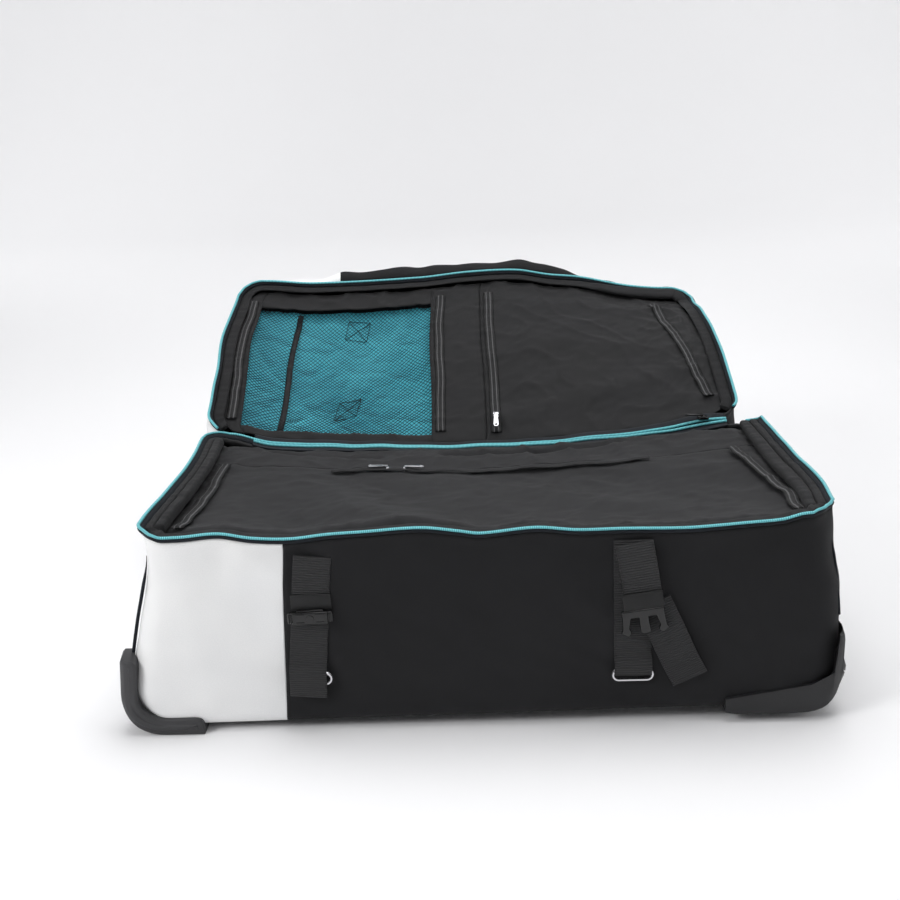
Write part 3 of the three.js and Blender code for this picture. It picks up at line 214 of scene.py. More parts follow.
def makeCloth(name, look):
    fixed = {"Sheen Weight": 0.04, "Sheen Roughness": 0.5, "Specular IOR Level": 0.3}
    cloth = Surface(name, fixed)
    warp = cloth.wave(0.5 / look["pitch"], math.pi / 4)
    weft = cloth.wave(0.5 / look["pitch"], -math.pi / 4)
    patches = cloth.noise(9, 2)
    threads = cloth.noise(900, 0, "UV")
    share = patches * 0.65 + threads * 0.35
    ramp = cloth.node("ShaderNodeValToRGB", {"stops": [(0.3, 0), (0.72, 1)]}, {"Fac": share})
    cloth.feed("Base Color", cloth.between(ramp, tone(*look["dark"]), tone(*look["light"])))
    cloth.feed("Roughness", patches * 0.12 + (look["rough"] - 0.06))
    creases = cloth.noise(28, 1)
    cloth.bump(warp * 0.5 + weft * 0.3 + creases * 2.5 + threads * 0.4, 0.7, look["depth"])
    return cloth.material


finishes = {name: makeCloth(name, look) for name, look in cloths.items()}


def makeCoil():
    # moulded coil: close ribs across it; its colour runs light on each rib and dark between them, a painted
    # highlight and painted shade
    coil = Surface("tealCoil", {"Specular IOR Level": 0.5})
    ribs = coil.wave(175, 0.0)
    coil.feed("Base Color", coil.between(ribs, tone(40, 150, 162), tone(140, 224, 230)))
    coil.feed("Roughness", ribs * -0.15 + 0.5)
    coil.bump(ribs, 0.8, 0.0006)
    return coil.material


def makeZipTape():
    # woven tape with a dark coil down its middle; a painted highlight runs along each flank of the coil,
    # broken by its ribs, and a faint painted highlight lies on each rib of the coil
    tape = Surface("zipTape", {"Specular IOR Level": 0.4})
    across = tape.node("ShaderNodeSeparateXYZ", {}, {0: tape.place("UV")}, "Y")
    middle = tape.node("ShaderNodeMath", {"operation": "ABSOLUTE"}, {0: across})
    onFlankHighlight = tape.node("ShaderNodeMath", {"operation": "COMPARE"}, {0: middle, 1: 0.0030, 2: 0.0007})
    onCoil = tape.node("ShaderNodeMath", {"operation": "LESS_THAN"}, {0: middle, 1: 0.0022})
    ribs = tape.wave(330, 0.0)
    weave = tape.wave(420, math.pi / 4)
    shade = onFlankHighlight * (ribs * 0.6 + 0.4) + onCoil * ribs * 0.12
    tape.feed("Base Color", tape.between(shade, tone(16, 16, 17), tone(88, 88, 90)))
    tape.feed("Roughness", 0.75 - shade * 0.25)
    tape.bump(onCoil * ribs + weave * 0.15, 0.8, 0.0005)
    return tape.material


def makeMoulded(name, colour, rough, grain):
    plastic = Surface(name, {"Specular IOR Level": 0.5})
    speckle = plastic.noise(900, 0)
    wear = plastic.noise(14, 2)
    lighter = tuple(value * 1.35 for value in tone(*colour))
    plastic.feed("Base Color", plastic.between(wear, tone(*colour), lighter))
    plastic.feed("Roughness", wear * 0.14 + (rough - 0.07))
    plastic.bump(speckle, 0.5, grain)
    return plastic.material


def makeWebbing():
    # ribs across the strap over fine threads along it; the colour runs dark to light with them, painted shade
    # in the grooves and painted light on the ridges
    web = Surface("webbing", {"Specular IOR Level": 0.5})
    ribs = web.wave(118, 0.0)
    threads = web.wave(520, math.pi / 2)
    share = ribs * 0.7 + threads * 0.3
    web.feed("Base Color", web.between(share, tone(7, 7, 8), tone(36, 36, 38)))
    web.feed("Roughness", 0.62 - share * 0.12)
    web.bump(ribs + threads * 0.3, 0.9, 0.0007)
    return web.material


def makeMetal():
    metal = Surface("platedMetal", {"Metallic": 1.0, "Base Color": (*tone(205, 205, 208), 1)})
    scratches = metal.noise(420, 4)
    metal.feed("Roughness", scratches * 0.2 + 0.14)
    metal.bump(scratches, 0.3, 0.00005)
    return metal.material


def makeNet():
    net = Surface("netYarn", {"Specular IOR Level": 0.3})
    threads = net.noise(1500, 2)
    net.feed("Base Color", net.between(threads, tone(8, 12, 14), tone(24, 34, 38)))
    net.feed("Roughness", threads * 0.2 + 0.6)
    net.bump(threads, 0.4, 0.0001)
    return net.material


finishes["tealCoil"] = makeCoil()
finishes["zipTape"] = makeZipTape()
finishes["guardPlastic"] = makeMoulded("guardPlastic", (46, 46, 48), 0.48, 0.00008)
finishes["housingPlastic"] = makeMoulded("housingPlastic", (21, 21, 23), 0.5, 0.0001)
finishes["bucklePlastic"] = makeMoulded("bucklePlastic", (10, 10, 11), 0.2, 0.00002)
finishes["wheelRubber"] = makeMoulded("wheelRubber", (28, 28, 29), 0.62, 0.0001)
finishes["boardPlastic"] = makeMoulded("boardPlastic", (26, 26, 27), 0.6, 0.0002)
finishes["webbing"] = makeWebbing()
finishes["metal"] = makeMetal()
finishes["net"] = makeNet()
print("finishes made")


# Pieces are laid as grids: spot(u, v) says where each corner of the cloth goes
def layGrid(name, columns, rows, spot, finish, outward=None, width=None):
    bpy.ops.mesh.primitive_grid_add(x_subdivisions=columns, y_subdivisions=rows, size=1)
    piece = bpy.context.object
    piece.name = name
    mesh = piece.data
    shares = [(vertex.co.x + 0.5, vertex.co.y + 0.5) for vertex in mesh.vertices]
    for vertex, (u, v) in zip(mesh.vertices, shares):
        vertex.co = spot(u, v) * mm + bagShift
    long = sum((spot((i + 1) / 40, 0.5) - spot(i / 40, 0.5)).length for i in range(40)) * mm
    wide = sum((spot(0.5, (i + 1) / 40) - spot(0.5, i / 40)).length for i in range(40)) * mm
    for loop in mesh.uv_layers.active.data:
        across = (loop.uv[1] - 0.5) * (width or wide)
        loop.uv = (loop.uv[0] * long, across)
    if outward is not None:
        middle = mesh.polygons[len(mesh.polygons) // 2]
        if middle.normal.dot(outward(middle.center)) < 0:
            mesh.flip_normals()
    bpy.ops.object.shade_smooth()
    mesh.materials.append(finishes[finish])
    bpy.ops.object.select_all(action="DESELECT")
    return piece


def applyModifier(piece, kind, **settings):
    bpy.context.view_layer.objects.active = piece
    made = piece.modifiers.new(kind.lower(), kind)
    for key, value in settings.items():
        setattr(made, key, value)
    bpy.ops.object.modifier_apply(modifier=made.name)


def closeEnds(piece):
    # joins the two long edges of a rolled grid and fills its ends
    bpy.context.view_layer.objects.active = piece
    bpy.ops.object.mode_set(mode="EDIT")
    bpy.ops.mesh.select_all(action="SELECT")
    bpy.ops.mesh.remove_doubles(threshold=0.00002)
    bpy.ops.mesh.fill_holes(sides=0)
    bpy.ops.mesh.normals_make_consistent(inside=False)
    bpy.ops.mesh.select_all(action="DESELECT")
    bpy.ops.object.mode_set(mode="OBJECT")


def seat(piece, slotName, *nodes, body="bag"):
    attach(piece, body)
    if nodes:
        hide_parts(*nodes)
    return piece


def mix(a, b, share):
    return a + (b - a) * share


def clamp(value, low, high):
    return max(low, min(high, value))


def smooth(value, low=0.0, high=1.0):
    share = clamp((value - low) / (high - low), 0, 1)
    return share * share * (3 - 2 * share)


def ripple(point, scale, seed=0.0):
    return noise.noise(Vector((point[0] * scale, point[1] * scale, point[2] * scale + seed)))


class Table:
    # rows of numbers read at any place between them, on a smooth curve
    def __init__(self, rows, loop=None):
        rows = sorted(rows)
        if loop:
            rows = [(k - loop, *r) for k, *r in rows[-2:]] + rows + [(k + loop, *r) for k, *r in rows[:2]]
        self.rows = rows

    def at(self, key):
        rows = self.rows
        key = clamp(key, rows[0][0], rows[-1][0])
        i = next(n for n in range(1, len(rows)) if rows[n][0] >= key)
        a, b = rows[i - 1], rows[i]
        before, after = rows[max(i - 2, 0)], rows[min(i + 1, len(rows) - 1)]
        span = b[0] - a[0]
        t = (key - a[0]) / span
        values = []
        for n in range(1, len(a)):
            startSlope = (b[n] - before[n]) / max(b[0] - before[0], 1e-6) * span
            endSlope = (after[n] - a[n]) / max(after[0] - a[0], 1e-6) * span
            values.append(
                (2 * t**3 - 3 * t**2 + 1) * a[n] + (t**3 - 2 * t**2 + t) * startSlope
                + (3 * t**2 - 2 * t**3) * b[n] + (t**3 - t**2) * endSlope
            )
        return values


# One half of the bag. Places run 0 to 8 round it: front 0 to 1, right 2 to 3, back 4 to 5, left 6 to 7, with
# the corners between. Sections are (height, left, right, front, back) shares of the taper. Folds are
# (place, drop, pull, reach) of the rim.
lower = {
    "left": 394, "right": 390, "front": 200, "back": 212, "corner": 34,
    "bottom": 5, "rise": 10, "rim": 229.5, "endRound": 50, "longRound": 14,
    "taper": (24, 9, 10, 22),
    "sections": [
        (0.0, 0.0, 0.0, 0.0, 0.55), (0.22, 0.05, 0.0, 0.0, 0.4), (0.4, 0.4, 0.2, -0.2, 0.05),
        (0.55, 0.7, 0.4, -0.1, 0.0), (0.75, 1.1, 0.8, 0.3, 0.35), (0.9, 1.15, 1.1, 0.8, 0.75),
        (1.0, 1.0, 1.0, 1.0, 1.0),
    ],
    "folds": [
        (0.028, 5, 0, 3), (0.088, 2, 0, 3), (0.139, 8, 0, 3), (0.199, 10, 0, 3), (0.256, 6, 0, 3),
        (0.312, 4, 0, 3), (0.401, 1, 0, 3), (0.461, 6, 0, 3), (0.492, 9, 0, 3), (0.578, 4, 0, 3),
        (0.641, 8, 0, 3), (0.714, 8, 0, 3), (0.807, 9, 0, 3), (0.862, 7, 0, 3), (0.899, 5, 0, 3),
        (0.955, 2, 0, 3), (0.99, -4, 0, 3), (1.25, -6, 5, 3), (1.6, -5, 9, 3), (2.0, -5, 4, 3),
        (2.2, -4, -2, 3), (2.5, -2, 1, 3),
        (3.0, -3, 6, 3), (3.4, 6, 0, 3), (3.75, 12, -2, 2), (4.0, 11, 0, 2),
        (4.05, 17, 0, 2), (4.2, 27.4, 0, 2), (4.4, 36, 0, 2),
        (4.7, 33.5, 0, 2), (4.92, 25.2, 0, 2), (5.0, 10.8, 0, 2), (6.0, 4, 5, 3), (6.3, 2, 11, 3),
        (6.65, 1, 9, 3), (7.0, 1, 2, 3), (7.4, 3, 6, 3), (7.75, 3, 2, 3), (7.95, 5, 0, 3),
    ],
}
lid = {
    "left": 380, "right": 364, "front": 17, "back": 393, "corner": 44,
    "bottom": -125, "rise": 0, "rim": -6.5, "endRound": 24, "longRound": 24,
    "taper": (6, 6, 20, 22),
    "sections": [
        (0.0, 0.0, 0.0, 0.0, 0.1), (0.3, 0.0, 0.0, 0.25, 0.0), (0.6, 0.1, 0.1, 0.55, 0.0),
        (0.85, 0.5, 0.5, 0.85, 0.05), (0.95, 0.8, 0.8, 0.95, 0.3), (1.0, 1.0, 1.0, 1.0, 1.0),
    ],
    "folds": [
        (0.0, 9, 0, 3), (0.08, 18, -5.4, 3), (0.35, 28.8, -9, 3), (0.6, 30.6, -9, 3), (0.85, 18, -5.4, 3),
        (1.0, 3.6, 0, 3), (2.0, 0, 0, 4), (2.5, 2, 4, 4), (2.8, 16, 10, 2.4), (3.0, 34, 14, 2),
        (4.0, 38, 8, 2), (4.1, 34, 4, 2), (4.22, 17, 0, 4), (4.3, 10.4, 0, 9), (4.38, 0, 0, 9),
        (4.5, 1.3, 0, 9), (4.62, 9.1, 0, 9), (4.88, 13, 0, 9), (5.0, 1.3, 6.5, 9), (6.0, 3.9, 5.2, 6),
        (6.4, 0, -2.6, 6), (6.7, 0, 1.3, 6), (7.0, 1.3, 2.6, 6),
    ],
}
for half in (lower, lid):
    half["sectionTable"] = Table(half["sections"])
    half["foldTable"] = Table(half["folds"], 8)
lidTilt = math.radians(23.7)
lidPlace = Vector((0, 190, 229))
seamTop, seamBottom, lidSeam = -208, -218, -212


def roundInset(height, radius):
    if height >= radius:
        return 0
    rest = radius - max(height, 0)
    return radius - math.sqrt(radius * radius - rest * rest)


def sideLines(half, up, out):
    # the four inner lines between which the straight sides run, and the corner's radius
    insetLeft, insetRight, insetFront, insetBack = (
        share * taper for share, taper in zip(half["sectionTable"].at(up), half["taper"])
    )
    height = up * (half["rim"] - half["bottom"])
    ends, longs = roundInset(height, half["endRound"]), roundInset(height, half["longRound"])
    radius = max(half["corner"] + out, 6)
    return (
        -half["left"] + insetLeft + ends - out + radius,
        half["right"] - insetRight - ends + out - radius,
        -half["front"] + insetFront + longs - out + radius,
        half["back"] - insetBack - longs + out - radius,
        radius,
    )


def onCase(half, place, up, out=0.0):
    place %= 8
    part, share = int(place), place % 1
    left, right, front, back, radius = sideLines(half, up, out)
    angle = share * math.pi / 2
    x, y, facing = (
        (mix(left, right, share), front, -math.pi / 2),
        (right, front, angle - math.pi / 2),
        (right, mix(front, back, share), 0),
        (right, back, angle),
        (mix(right, left, share), back, math.pi / 2),
        (left, back, angle + math.pi / 2),
        (left, mix(back, front, share), math.pi),
        (left, front, angle + math.pi),
    )[part]
    drop, pull, reach = half["foldTable"].at(place)
    fade = max(up, 0) ** reach
    reachOut = radius - pull * fade
    x += reachOut * math.cos(facing)
    y += reachOut * math.sin(facing)
    low = half["bottom"] + half["rise"] * (x + half["left"]) / (half["left"] + half["right"])
    return Vector((x, y, mix(low, half["rim"], up) - drop * fade))


def onLid(point):
    # from the lid's own flat to the opened lid
    c, s = math.cos(lidTilt), math.sin(lidTilt)
    return lidPlace + Vector((point.x, point.y * c - point.z * s, point.y * s + point.z * c))


def plain(point):
    return point


def placesRound(start, end, sideSteps, endSteps, cornerSteps):
    places = []
    part = math.floor(start)
    while part < end:
        steps = cornerSteps if part % 2 else (endSteps if part % 4 == 2 else sideSteps)
        places += [part + i / steps for i in range(steps)]
        part += 1
    inside = [p for p in places if start + 1e-6 < p < end - 1e-6]
    return [start, *inside, end]


def outwardFrom(centre):
    return lambda spot: spot - (centre * mm + bagShift)


lowerMiddle = Vector((0, 0, 110))
lidMiddle = onLid(Vector((-8, 190, -60)))


def readList(values, share):
    place = share * (len(values) - 1)
    i = min(int(place), len(values) - 2)
    return mix(values[i], values[i + 1], place - i)


# Walls of the lower half
wallLook = {"thick": 4, "rows": 44, "seamShare": 0.18}
innerFinish = {"material_offset": 1, "material_offset_rim": 1}


def seamShares(half, up, seamX):
    left, right = sideLines(half, up, 0)[:2]
    return (seamX - left) / (right - left)


def wallPlace(half, place, up, seamX):
    # slides the places of the two long sides so that one column lies on the seam
    part, share = int(place % 8), place % 1
    if part not in (0, 4):
        return place
    seamAt = seamShares(half, up, seamX)
    along = share if part == 0 else 1 - share
    k = wallLook["seamShare"]
    along = along / k * seamAt if along < k else seamAt + (along - k) / (1 - k) * (1 - seamAt)
    return math.floor(place) + (along if part == 0 else 1 - along)


def creaseOn(point, up):
    # long soft creases: nearly upright under the rim, slanting lower down
    rimward = smooth(up, 0.6, 0.95)
    low = ripple((point.x, point.y, point.z * 0.35), 0.009, 3.0)
    high = ripple((point.x * 1.3, point.y * 1.3, point.z * 0.7), 0.026, 8.0)
    across = point.x * 0.8 + point.z * 0.6
    slant = 0.2 - abs(ripple((across, point.y, (point.z - point.x) * 0.22), 0.012, 21.0)) * 2
    fine = ripple((across * 1.2, point.y, point.z), 0.035, 33.0)
    return low * 3.2 + high * 4.4 * rimward + slant * 4.4 + fine * 1.2


def wallSpot(half, placeList, seamAtHeight, pose):
    def spot(u, v):
        place = readList(placeList, u)
        up = v
        settled = wallPlace(half, place, up, seamAtHeight(up))
        flat = onCase(half, settled, up)
        edge = smooth(up, 0.0, 0.12) * (1 - smooth(up, 0.94, 1.0))
        return pose(onCase(half, settled, up, creaseOn(flat, up) * edge))

    return spot


def lowerSeam(up):
    return mix(seamBottom, seamTop, up)


whitePlaces = placesRound(4 + 1 - wallLook["seamShare"], 8 + wallLook["seamShare"], 90, 60, 12)
blackPlaces = placesRound(wallLook["seamShare"], 5 - wallLook["seamShare"], 130, 60, 12)
for name, places, finish, slotName in (
    ("lowerWallWhite", whitePlaces, "whiteCloth", "white_cloth"),
    ("lowerWallBlack", blackPlaces, "blackTwill", "black_cloth"),
):
    spot = wallSpot(lower, places, lowerSeam, plain)
    wall = layGrid(name, len(places) - 1, wallLook["rows"], spot, finish, outwardFrom(lowerMiddle))
    wall.data.materials.append(finishes["insideCloth"])
    applyModifier(wall, "SOLIDIFY", thickness=wallLook["thick"] * mm, offset=-1, **innerFinish)
    seat(wall, slotName, "lower_wall_white" if finish == "whiteCloth" else "lower_wall_black")
print("lower walls made")


# Shell of the lid: its back is laid in rings that close on a line
lidLook = {"thick": 3, "rows": 30, "backRows": 16, "crown": 3}


def lidBulge(flat, place):
    # how far the far wall swells above the rim, by x
    if not 4 < place % 8 < 5:
        return 0
    swell = smooth(flat.x, -250, -205) * (1 - smooth(flat.x, 110, 190))
    return swell * (13 + ripple((flat.x, 0, 0), 0.02, 4) * 4)


def lidSpot(placeList):
    left, right, front, back, radius = sideLines(lid, 0, 0)
    middleY = (front + back) / 2
    spineHalf = (right - left) / 2 - (back - front) / 2 - 10
    backShare = lidLook["backRows"] / (lidLook["backRows"] + lidLook["rows"])

    def spot(u, v):
        place = readList(placeList, u)
        if v < backShare:
            rim = onCase(lid, wallPlace(lid, place, 0, lidSeam), 0)
            share = v / backShare
            centre = Vector((clamp(rim.x, -spineHalf, spineHalf), middleY, rim.z - lidLook["crown"]))
            if abs(rim.y - middleY) < 1:
                centre.y = middleY
            flat = centre.lerp(rim, share)
            crown = lidLook["crown"] * (1 - share * share)
            flat.z = rim.z - crown + ripple(flat, 0.012, 5) * 1.2 * (1 - share)
            return onLid(flat)
        up = (v - backShare) / (1 - backShare)
        flat = onCase(lid, wallPlace(lid, place, up, lidSeam), up)
        edge = smooth(up, 0.0, 0.1) * (1 - smooth(up, 0.92, 1.0))
        bulge = lidBulge(flat, place) * smooth(up, 0.7, 0.95) * (1 - smooth(up, 0.965, 1.0))
        out = creaseOn(flat, up) * edge + 0.7 * bulge
        spotOn = onCase(lid, wallPlace(lid, place, up, lidSeam), up, out)
        return onLid(spotOn + Vector((0, 0, bulge)))

    return spot


for name, places, finish, slotName in (
    ("lidShellWhite", whitePlaces, "whiteCloth", "white_cloth"),
    ("lidShellBlack", blackPlaces, "blackTwill", "black_cloth"),
):
    rows = lidLook["rows"] + lidLook["backRows"]
    shell = layGrid(name, len(places) - 1, rows, lidSpot(places), finish, outwardFrom(lidMiddle))
    applyModifier(shell, "WELD", merge_threshold=0.00005)
    shell.data.materials.append(finishes["insideCloth"])
    applyModifier(shell, "SOLIDIFY", thickness=lidLook["thick"] * mm, offset=-1, **innerFinish)
    seat(shell, slotName, "lid_shell_white" if finish == "whiteCloth" else "lid_shell_black")
print("lid shell made")


# Rims: tape, teal coil and inner facing, run along the rim on three sides of each half
rimLook = {
    "tapeHigh": 4.3, "coilWide": 3.8, "coilHigh": 3.0, "coilSides": 10,
    "steps": 110, "endSteps": 70, "cornerSteps": 14, "sway": 1.3,
}
rimRuns = {
    "lower": {"half": lower, "pose": plain, "from": 4.94, "to": 11.72, "wall": 4},
    "lid": {"half": lid, "pose": onLid, "from": 1.62, "to": 7.6, "wall": 3},
}


def rimSpot(run, place, out, rise):
    half = run["half"]
    depth = half["rim"] - half["bottom"]
    if rise < 0:
        return onCase(half, place, 1 + rise / depth, out)
    sway = noise.noise(Vector((place * 5.2, 3.1, run["from"]))) * rimLook["sway"] * smooth(rise, 0, 5)
    return onCase(half, place, 1, out + sway) + Vector((0, 0, rise))


def sweep(name, run, places, profile, finish, closed=True, width=None):
    # profile(place) gives the section as (out, rise) pairs
    count = len(profile(places[0]))
    steps = count if closed else count - 1

    def spot(u, v):
        place = readList(places, u)
        section = profile(place)
        i = int(round(v * steps)) % count if closed else int(round(v * steps))
        out, rise = section[i]
        return run["pose"](rimSpot(run, place, out, rise))

    piece = layGrid(name, len(places) - 1, steps, spot, finish, None, width)
    if closed:
        closeEnds(piece)
    return piece


def roundProfile(out, rise, halfWide, halfHigh, sides):
    return [
        (out + halfWide * math.cos(k * math.tau / sides), rise + halfHigh * math.sin(k * math.tau / sides))
        for k in range(sides)
    ]


for name, run in rimRuns.items():
    counts = rimLook["steps"], rimLook["endSteps"], rimLook["cornerSteps"]
    places = placesRound(run["from"], run["to"], *counts)

    def tapeProfile(place):
        # folded over the top of the wall
        high, wall = rimLook["tapeHigh"], run["wall"]
        return [
            (0.3, 0.3), (1.1, 0.4), (1.5, 1.4), (1.4, high - 1.2), (0.6, high), (-1.6, high),
            (-3.2, high - 1.6), (-wall - 1.4, 0.4), (-wall - 1.2, -3.5), (-wall - 0.3, -3.5),
            (-wall - 0.2, 0.1),
            (-0.1, 0.1),
        ]

    def coilProfile(place):
        rise = rimLook["tapeHigh"] + 1.3
        return roundProfile(0.1, rise, rimLook["coilWide"] / 2, rimLook["coilHigh"] / 2, rimLook["coilSides"])

    tape = sweep(name + "RimTape", run, places, tapeProfile, "tapeCloth")
    seat(tape, "zip_tape", name + "_rim_tape")
    coil = sweep(name + "RimCoil", run, places, coilProfile, "tealCoil")
    seat(coil, "zip_coil", name + "_rim_coil")
print("rims made")


def ruffle(place, strength, seed):
    # close gathers along a facing
    return noise.noise(Vector((place * 60, seed, 1.5))) * strength


def padProfile(place, start, wide, high, below, ribs, seed):
    sides = 20
    section = []
    puff = 1 + ruffle(place, 0.2, seed) + noise.noise(Vector((place * 9, seed, 4))) * 0.25
    for k in range(sides):
        angle = k * math.tau / sides
        c, s = math.cos(angle), math.sin(angle)
        squareness = (abs(c) ** 3 + abs(s) ** 3) ** (-1 / 3)
        flute = 1 + ribs * math.cos(angle * 6) * (s > 0)
        out = -start - wide / 2 + wide / 2 * c * squareness
        section.append((out, -below - high / 2 + high / 2 * s * squareness * puff * flute))
    return section


# facings and rolls: padded strips inside the rim, each with a table of (place, width, top over the rim)
pads = {
    "lowerFacing": {
        "run": "lower", "node": "lower_facing", "start": 5.6, "high": 10, "ribs": 0.05,
        "table": [(4.9, 9, 0), (6.0, 10, 2.5), (7.0, 10, 2.5), (7.3, 15, 1), (7.9, 19, 2.0), (8.4, 17, 2.6),
                  (9.1, 19, 2.0), (10.0, 10, 2.5), (11.0, 10, 2.5), (12.1, 9, 0)],
    },
    "lidFacing": {
        "run": "lid", "node": "lid_facing", "start": 4.7, "high": 8, "ribs": 0.05,
        "table": [(0.8, 15, -1), (2.0, 16, 0.5), (3.0, 17, 0.8), (3.3, 20, 6), (3.8, 22, 9), (4.1, 22, 8),
                  (4.25, 17, 1.5), (5.0, 17, 0.8), (7.0, 16, 0.4), (8.1, 15, -1)],
    },
    "lowerRollLeft": {
        "run": "lower", "node": "lower_roll_left", "start": 15.8, "high": 12, "ribs": 0.03,
        "table": [(5.75, 7, -4), (6.0, 11, 4), (6.5, 13, 6), (7.0, 11, 3), (7.3, 6, -5)],
    },
    "lowerRollRight": {
        "run": "lower", "node": "lower_roll_right", "start": 15.8, "high": 10, "ribs": 0.03,
        "table": [(1.7, 6, -5), (2.0, 12, 1), (2.5, 17, 2), (3.0, 12, 1), (3.25, 6, -5)],
    },
}


def layPad(name, pad):
    run = rimRuns[pad["run"]]
    table = Table(pad["table"])
    isRoll = "Roll" in name
    start, end = (pad["table"][0][0], pad["table"][-1][0]) if isRoll else (run["from"], run["to"])
    places = placesRound(start, end, 150, 90, 14)

    def profile(place):
        wide, top = table.at(place if isRoll or place > pad["table"][0][0] else place + 8)
        return padProfile(place, pad["start"], wide, pad["high"], -top, pad["ribs"], len(name))

    piece = sweep(name, run, places, profile, "paddedCloth")
    seat(piece, "inner_cloth", pad["node"])


for name, pad in pads.items():
    layPad(name, pad)
print("padded strips made")


# Panels: a flat spread between the four rims of a half, sunk below them
def rimCurve(half, inset):
    return lambda place: onCase(half, place, 1, -inset)


def spreadOn(half, below, inset):
    halfCorner = max(half["corner"] - inset, 6) * math.sqrt(0.5)
    acrossCorner = halfCorner / (half["left"] + half["right"] - 2 * inset)
    deepCorner = halfCorner / (half["front"] + half["back"] - 2 * inset)
    rim = rimCurve(half, inset)
    corners = [rim(7.5), rim(1.5), rim(5.5), rim(3.5)]

    def edge(start, share, corner):
        if share < corner:
            return start - 0.5 + share / corner * 0.5
        if share > 1 - corner:
            return start + 1 + (share - 1 + corner) / corner * 0.5
        return start + (share - corner) / (1 - 2 * corner)

    def spot(u, w):
        u, w = clamp(u, 0, 1), clamp(w, 0, 1)
        point = (
            rim(edge(0, u, acrossCorner)) * (1 - w) + rim(edge(4, 1 - u, acrossCorner)) * w
            + rim(edge(6, 1 - w, deepCorner)) * (1 - u) + rim(edge(2, w, deepCorner)) * u
            - corners[0] * (1 - u) * (1 - w) - corners[1] * u * (1 - w)
            - corners[2] * (1 - u) * w - corners[3] * u * w
        )
        point.z -= below
        return point

    return spot


def ridgeHeight(ridges, u, w, wide):
    height = 0
    for fromX, fromY, toX, toY, rise in ridges:
        along = Vector((toX - fromX, toY - fromY))
        away = Vector((u - fromX, w - fromY))
        share = clamp(away.dot(along) / along.length_squared, 0, 1)
        distance = (away - along * share).length / wide
        height += rise * math.exp(-distance * distance)
    edge = min(u, 1 - u, w, 1 - w)
    return height * smooth(edge, 0, 0.05)


def crumple(point, seed):
    # sharp little folds: the ridges of a folded noise
    first = 1 - abs(ripple((point.x + point.y * 0.4, point.y, 0), 0.017, seed)) * 2.4
    second = 1 - abs(ripple((point.x, point.y - point.x * 0.5, 0), 0.036, seed + 7)) * 2.4
    return max(first, 0) ** 3 * 1.3 + max(second, 0) ** 3 * 0.6


def tuck(u, w, depth):
    edge = min(u, 1 - u, w, 1 - w)
    return depth * (1 - smooth(edge, 0, 0.022))


def hollow(u, w):
    return math.sin(math.pi * clamp(u, 0, 1)) * math.sin(math.pi * clamp(w, 0, 1))


coverLook = {
    "inset": 23, "below": 8.1, "sag": 9, "backZip": 0.76, "thick": 1.6, "rise": 12.6,
    # (from x, from y, to x, to y, height) as shares of the panel, in mm
    "ridges": [
        (0.08, 0.95, 0.36, 0.1, 6.5), (0.25, 0.85, 0.5, 0.35, 4.0), (0.62, 0.8, 0.95, 0.55, 4.0),
        (0.02, 0.05, 0.98, 0.03, 6.5), (0.45, 0.62, 0.75, 0.3, 3.0), (0.1, 0.6, 0.3, 0.2, 3.0),
        (0.55, 0.5, 0.85, 0.12, 2.6), (0.3, 0.25, 0.42, 0.05, 2.6),
    ],
}
flapSlits = {"width": 0.013, "lines": [(0.44, 0.93, 0.62, 0.925, -7), (0.6, 0.925, 0.76, 0.955, -6),
                                       (0.1, 0.93, 0.3, 0.9, -4)]}
coverFlat = spreadOn(lower, coverLook["below"], coverLook["inset"])


def coverTop(u, w):
    point = coverFlat(u, w)
    across = math.sqrt(max(math.sin(math.pi * clamp(u, 0, 1)), 0))
    point.z += ridgeHeight(coverLook["ridges"], u, w, 0.07) - coverLook["sag"] * hollow(u, w)
    point.z += ridgeHeight(flapSlits["lines"], u, w, flapSlits["width"])
    point.z += coverLook["rise"] * w * w * across - tuck(u, w, 3.0)
    point.z += ripple(point, 0.02, 2) * 1.6 + ripple((point.x, point.y * 2, 0), 0.05, 9) * 0.7
    point.z += crumple(point, 5) * (1.5 + 1.4 * (1 - smooth(w, 0.0, 0.12)) + 1.2 * smooth(w, 0.8, 0.95))
    return point


def panel(name, top, left, right, front, back, columns, rows, finish, thick, pose=plain):
    def spot(u, v):
        return pose(top(mix(left, right, u), mix(front, back, v)))

    upward = lambda spot: pose(Vector((0, 0, 1))) - pose(Vector((0, 0, 0)))
    piece = layGrid(name, columns, rows, spot, finish, upward)
    applyModifier(piece, "SOLIDIFY", thickness=thick * mm, offset=-1)
    return piece


def declareSheet(piece, top, left, right, front, back, held):
    # the flat size is what the laid cloth measures along its two middle lines
    def length(line):
        return sum((b - a).length for a, b in zip(line, line[1:])) * mm

    steps = [i / 60 for i in range(61)]
    long = length([top(mix(left, right, s), mix(front, back, 0.5)) for s in steps])
    deep = length([top(mix(left, right, 0.5), mix(front, back, s)) for s in steps])


z = coverLook["backZip"]
cover = panel("coverPanel", coverTop, 0, 1, 0, z, 150, 60, "insideCloth", coverLook["thick"])
seat(cover, "inner_cloth", "cover_panel")
declareSheet(cover, coverTop, 0, 1, 0, z, "stretched")
flap = panel("hingeFlap", coverTop, 0, 1, z + 0.003, 0.985, 150, 22, "insideCloth", coverLook["thick"])
seat(flap, "black_cloth", "hinge_flap")
declareSheet(flap, coverTop, 0, 1, z + 0.003, 0.985, "stretched")
print("cover made")


lidPanelLook = {
    "inset": 16.9, "below": 6, "sag": 6, "split": 0.53, "thick": 1.6,
    "window": (0.038, 0.42, 0.04, 0.88),
    "ridges": [
        (0.56, 0.45, 0.72, 0.66, 3.0), (0.58, 0.12, 0.9, 0.3, 4.8), (0.6, 0.86, 0.92, 0.84, 3.6),
        (0.7, 0.55, 0.95, 0.5, 2.4), (0.62, 0.3, 0.8, 0.36, 1.8),
    ],
}
lidFlat = spreadOn(lid, lidPanelLook["below"], lidPanelLook["inset"])


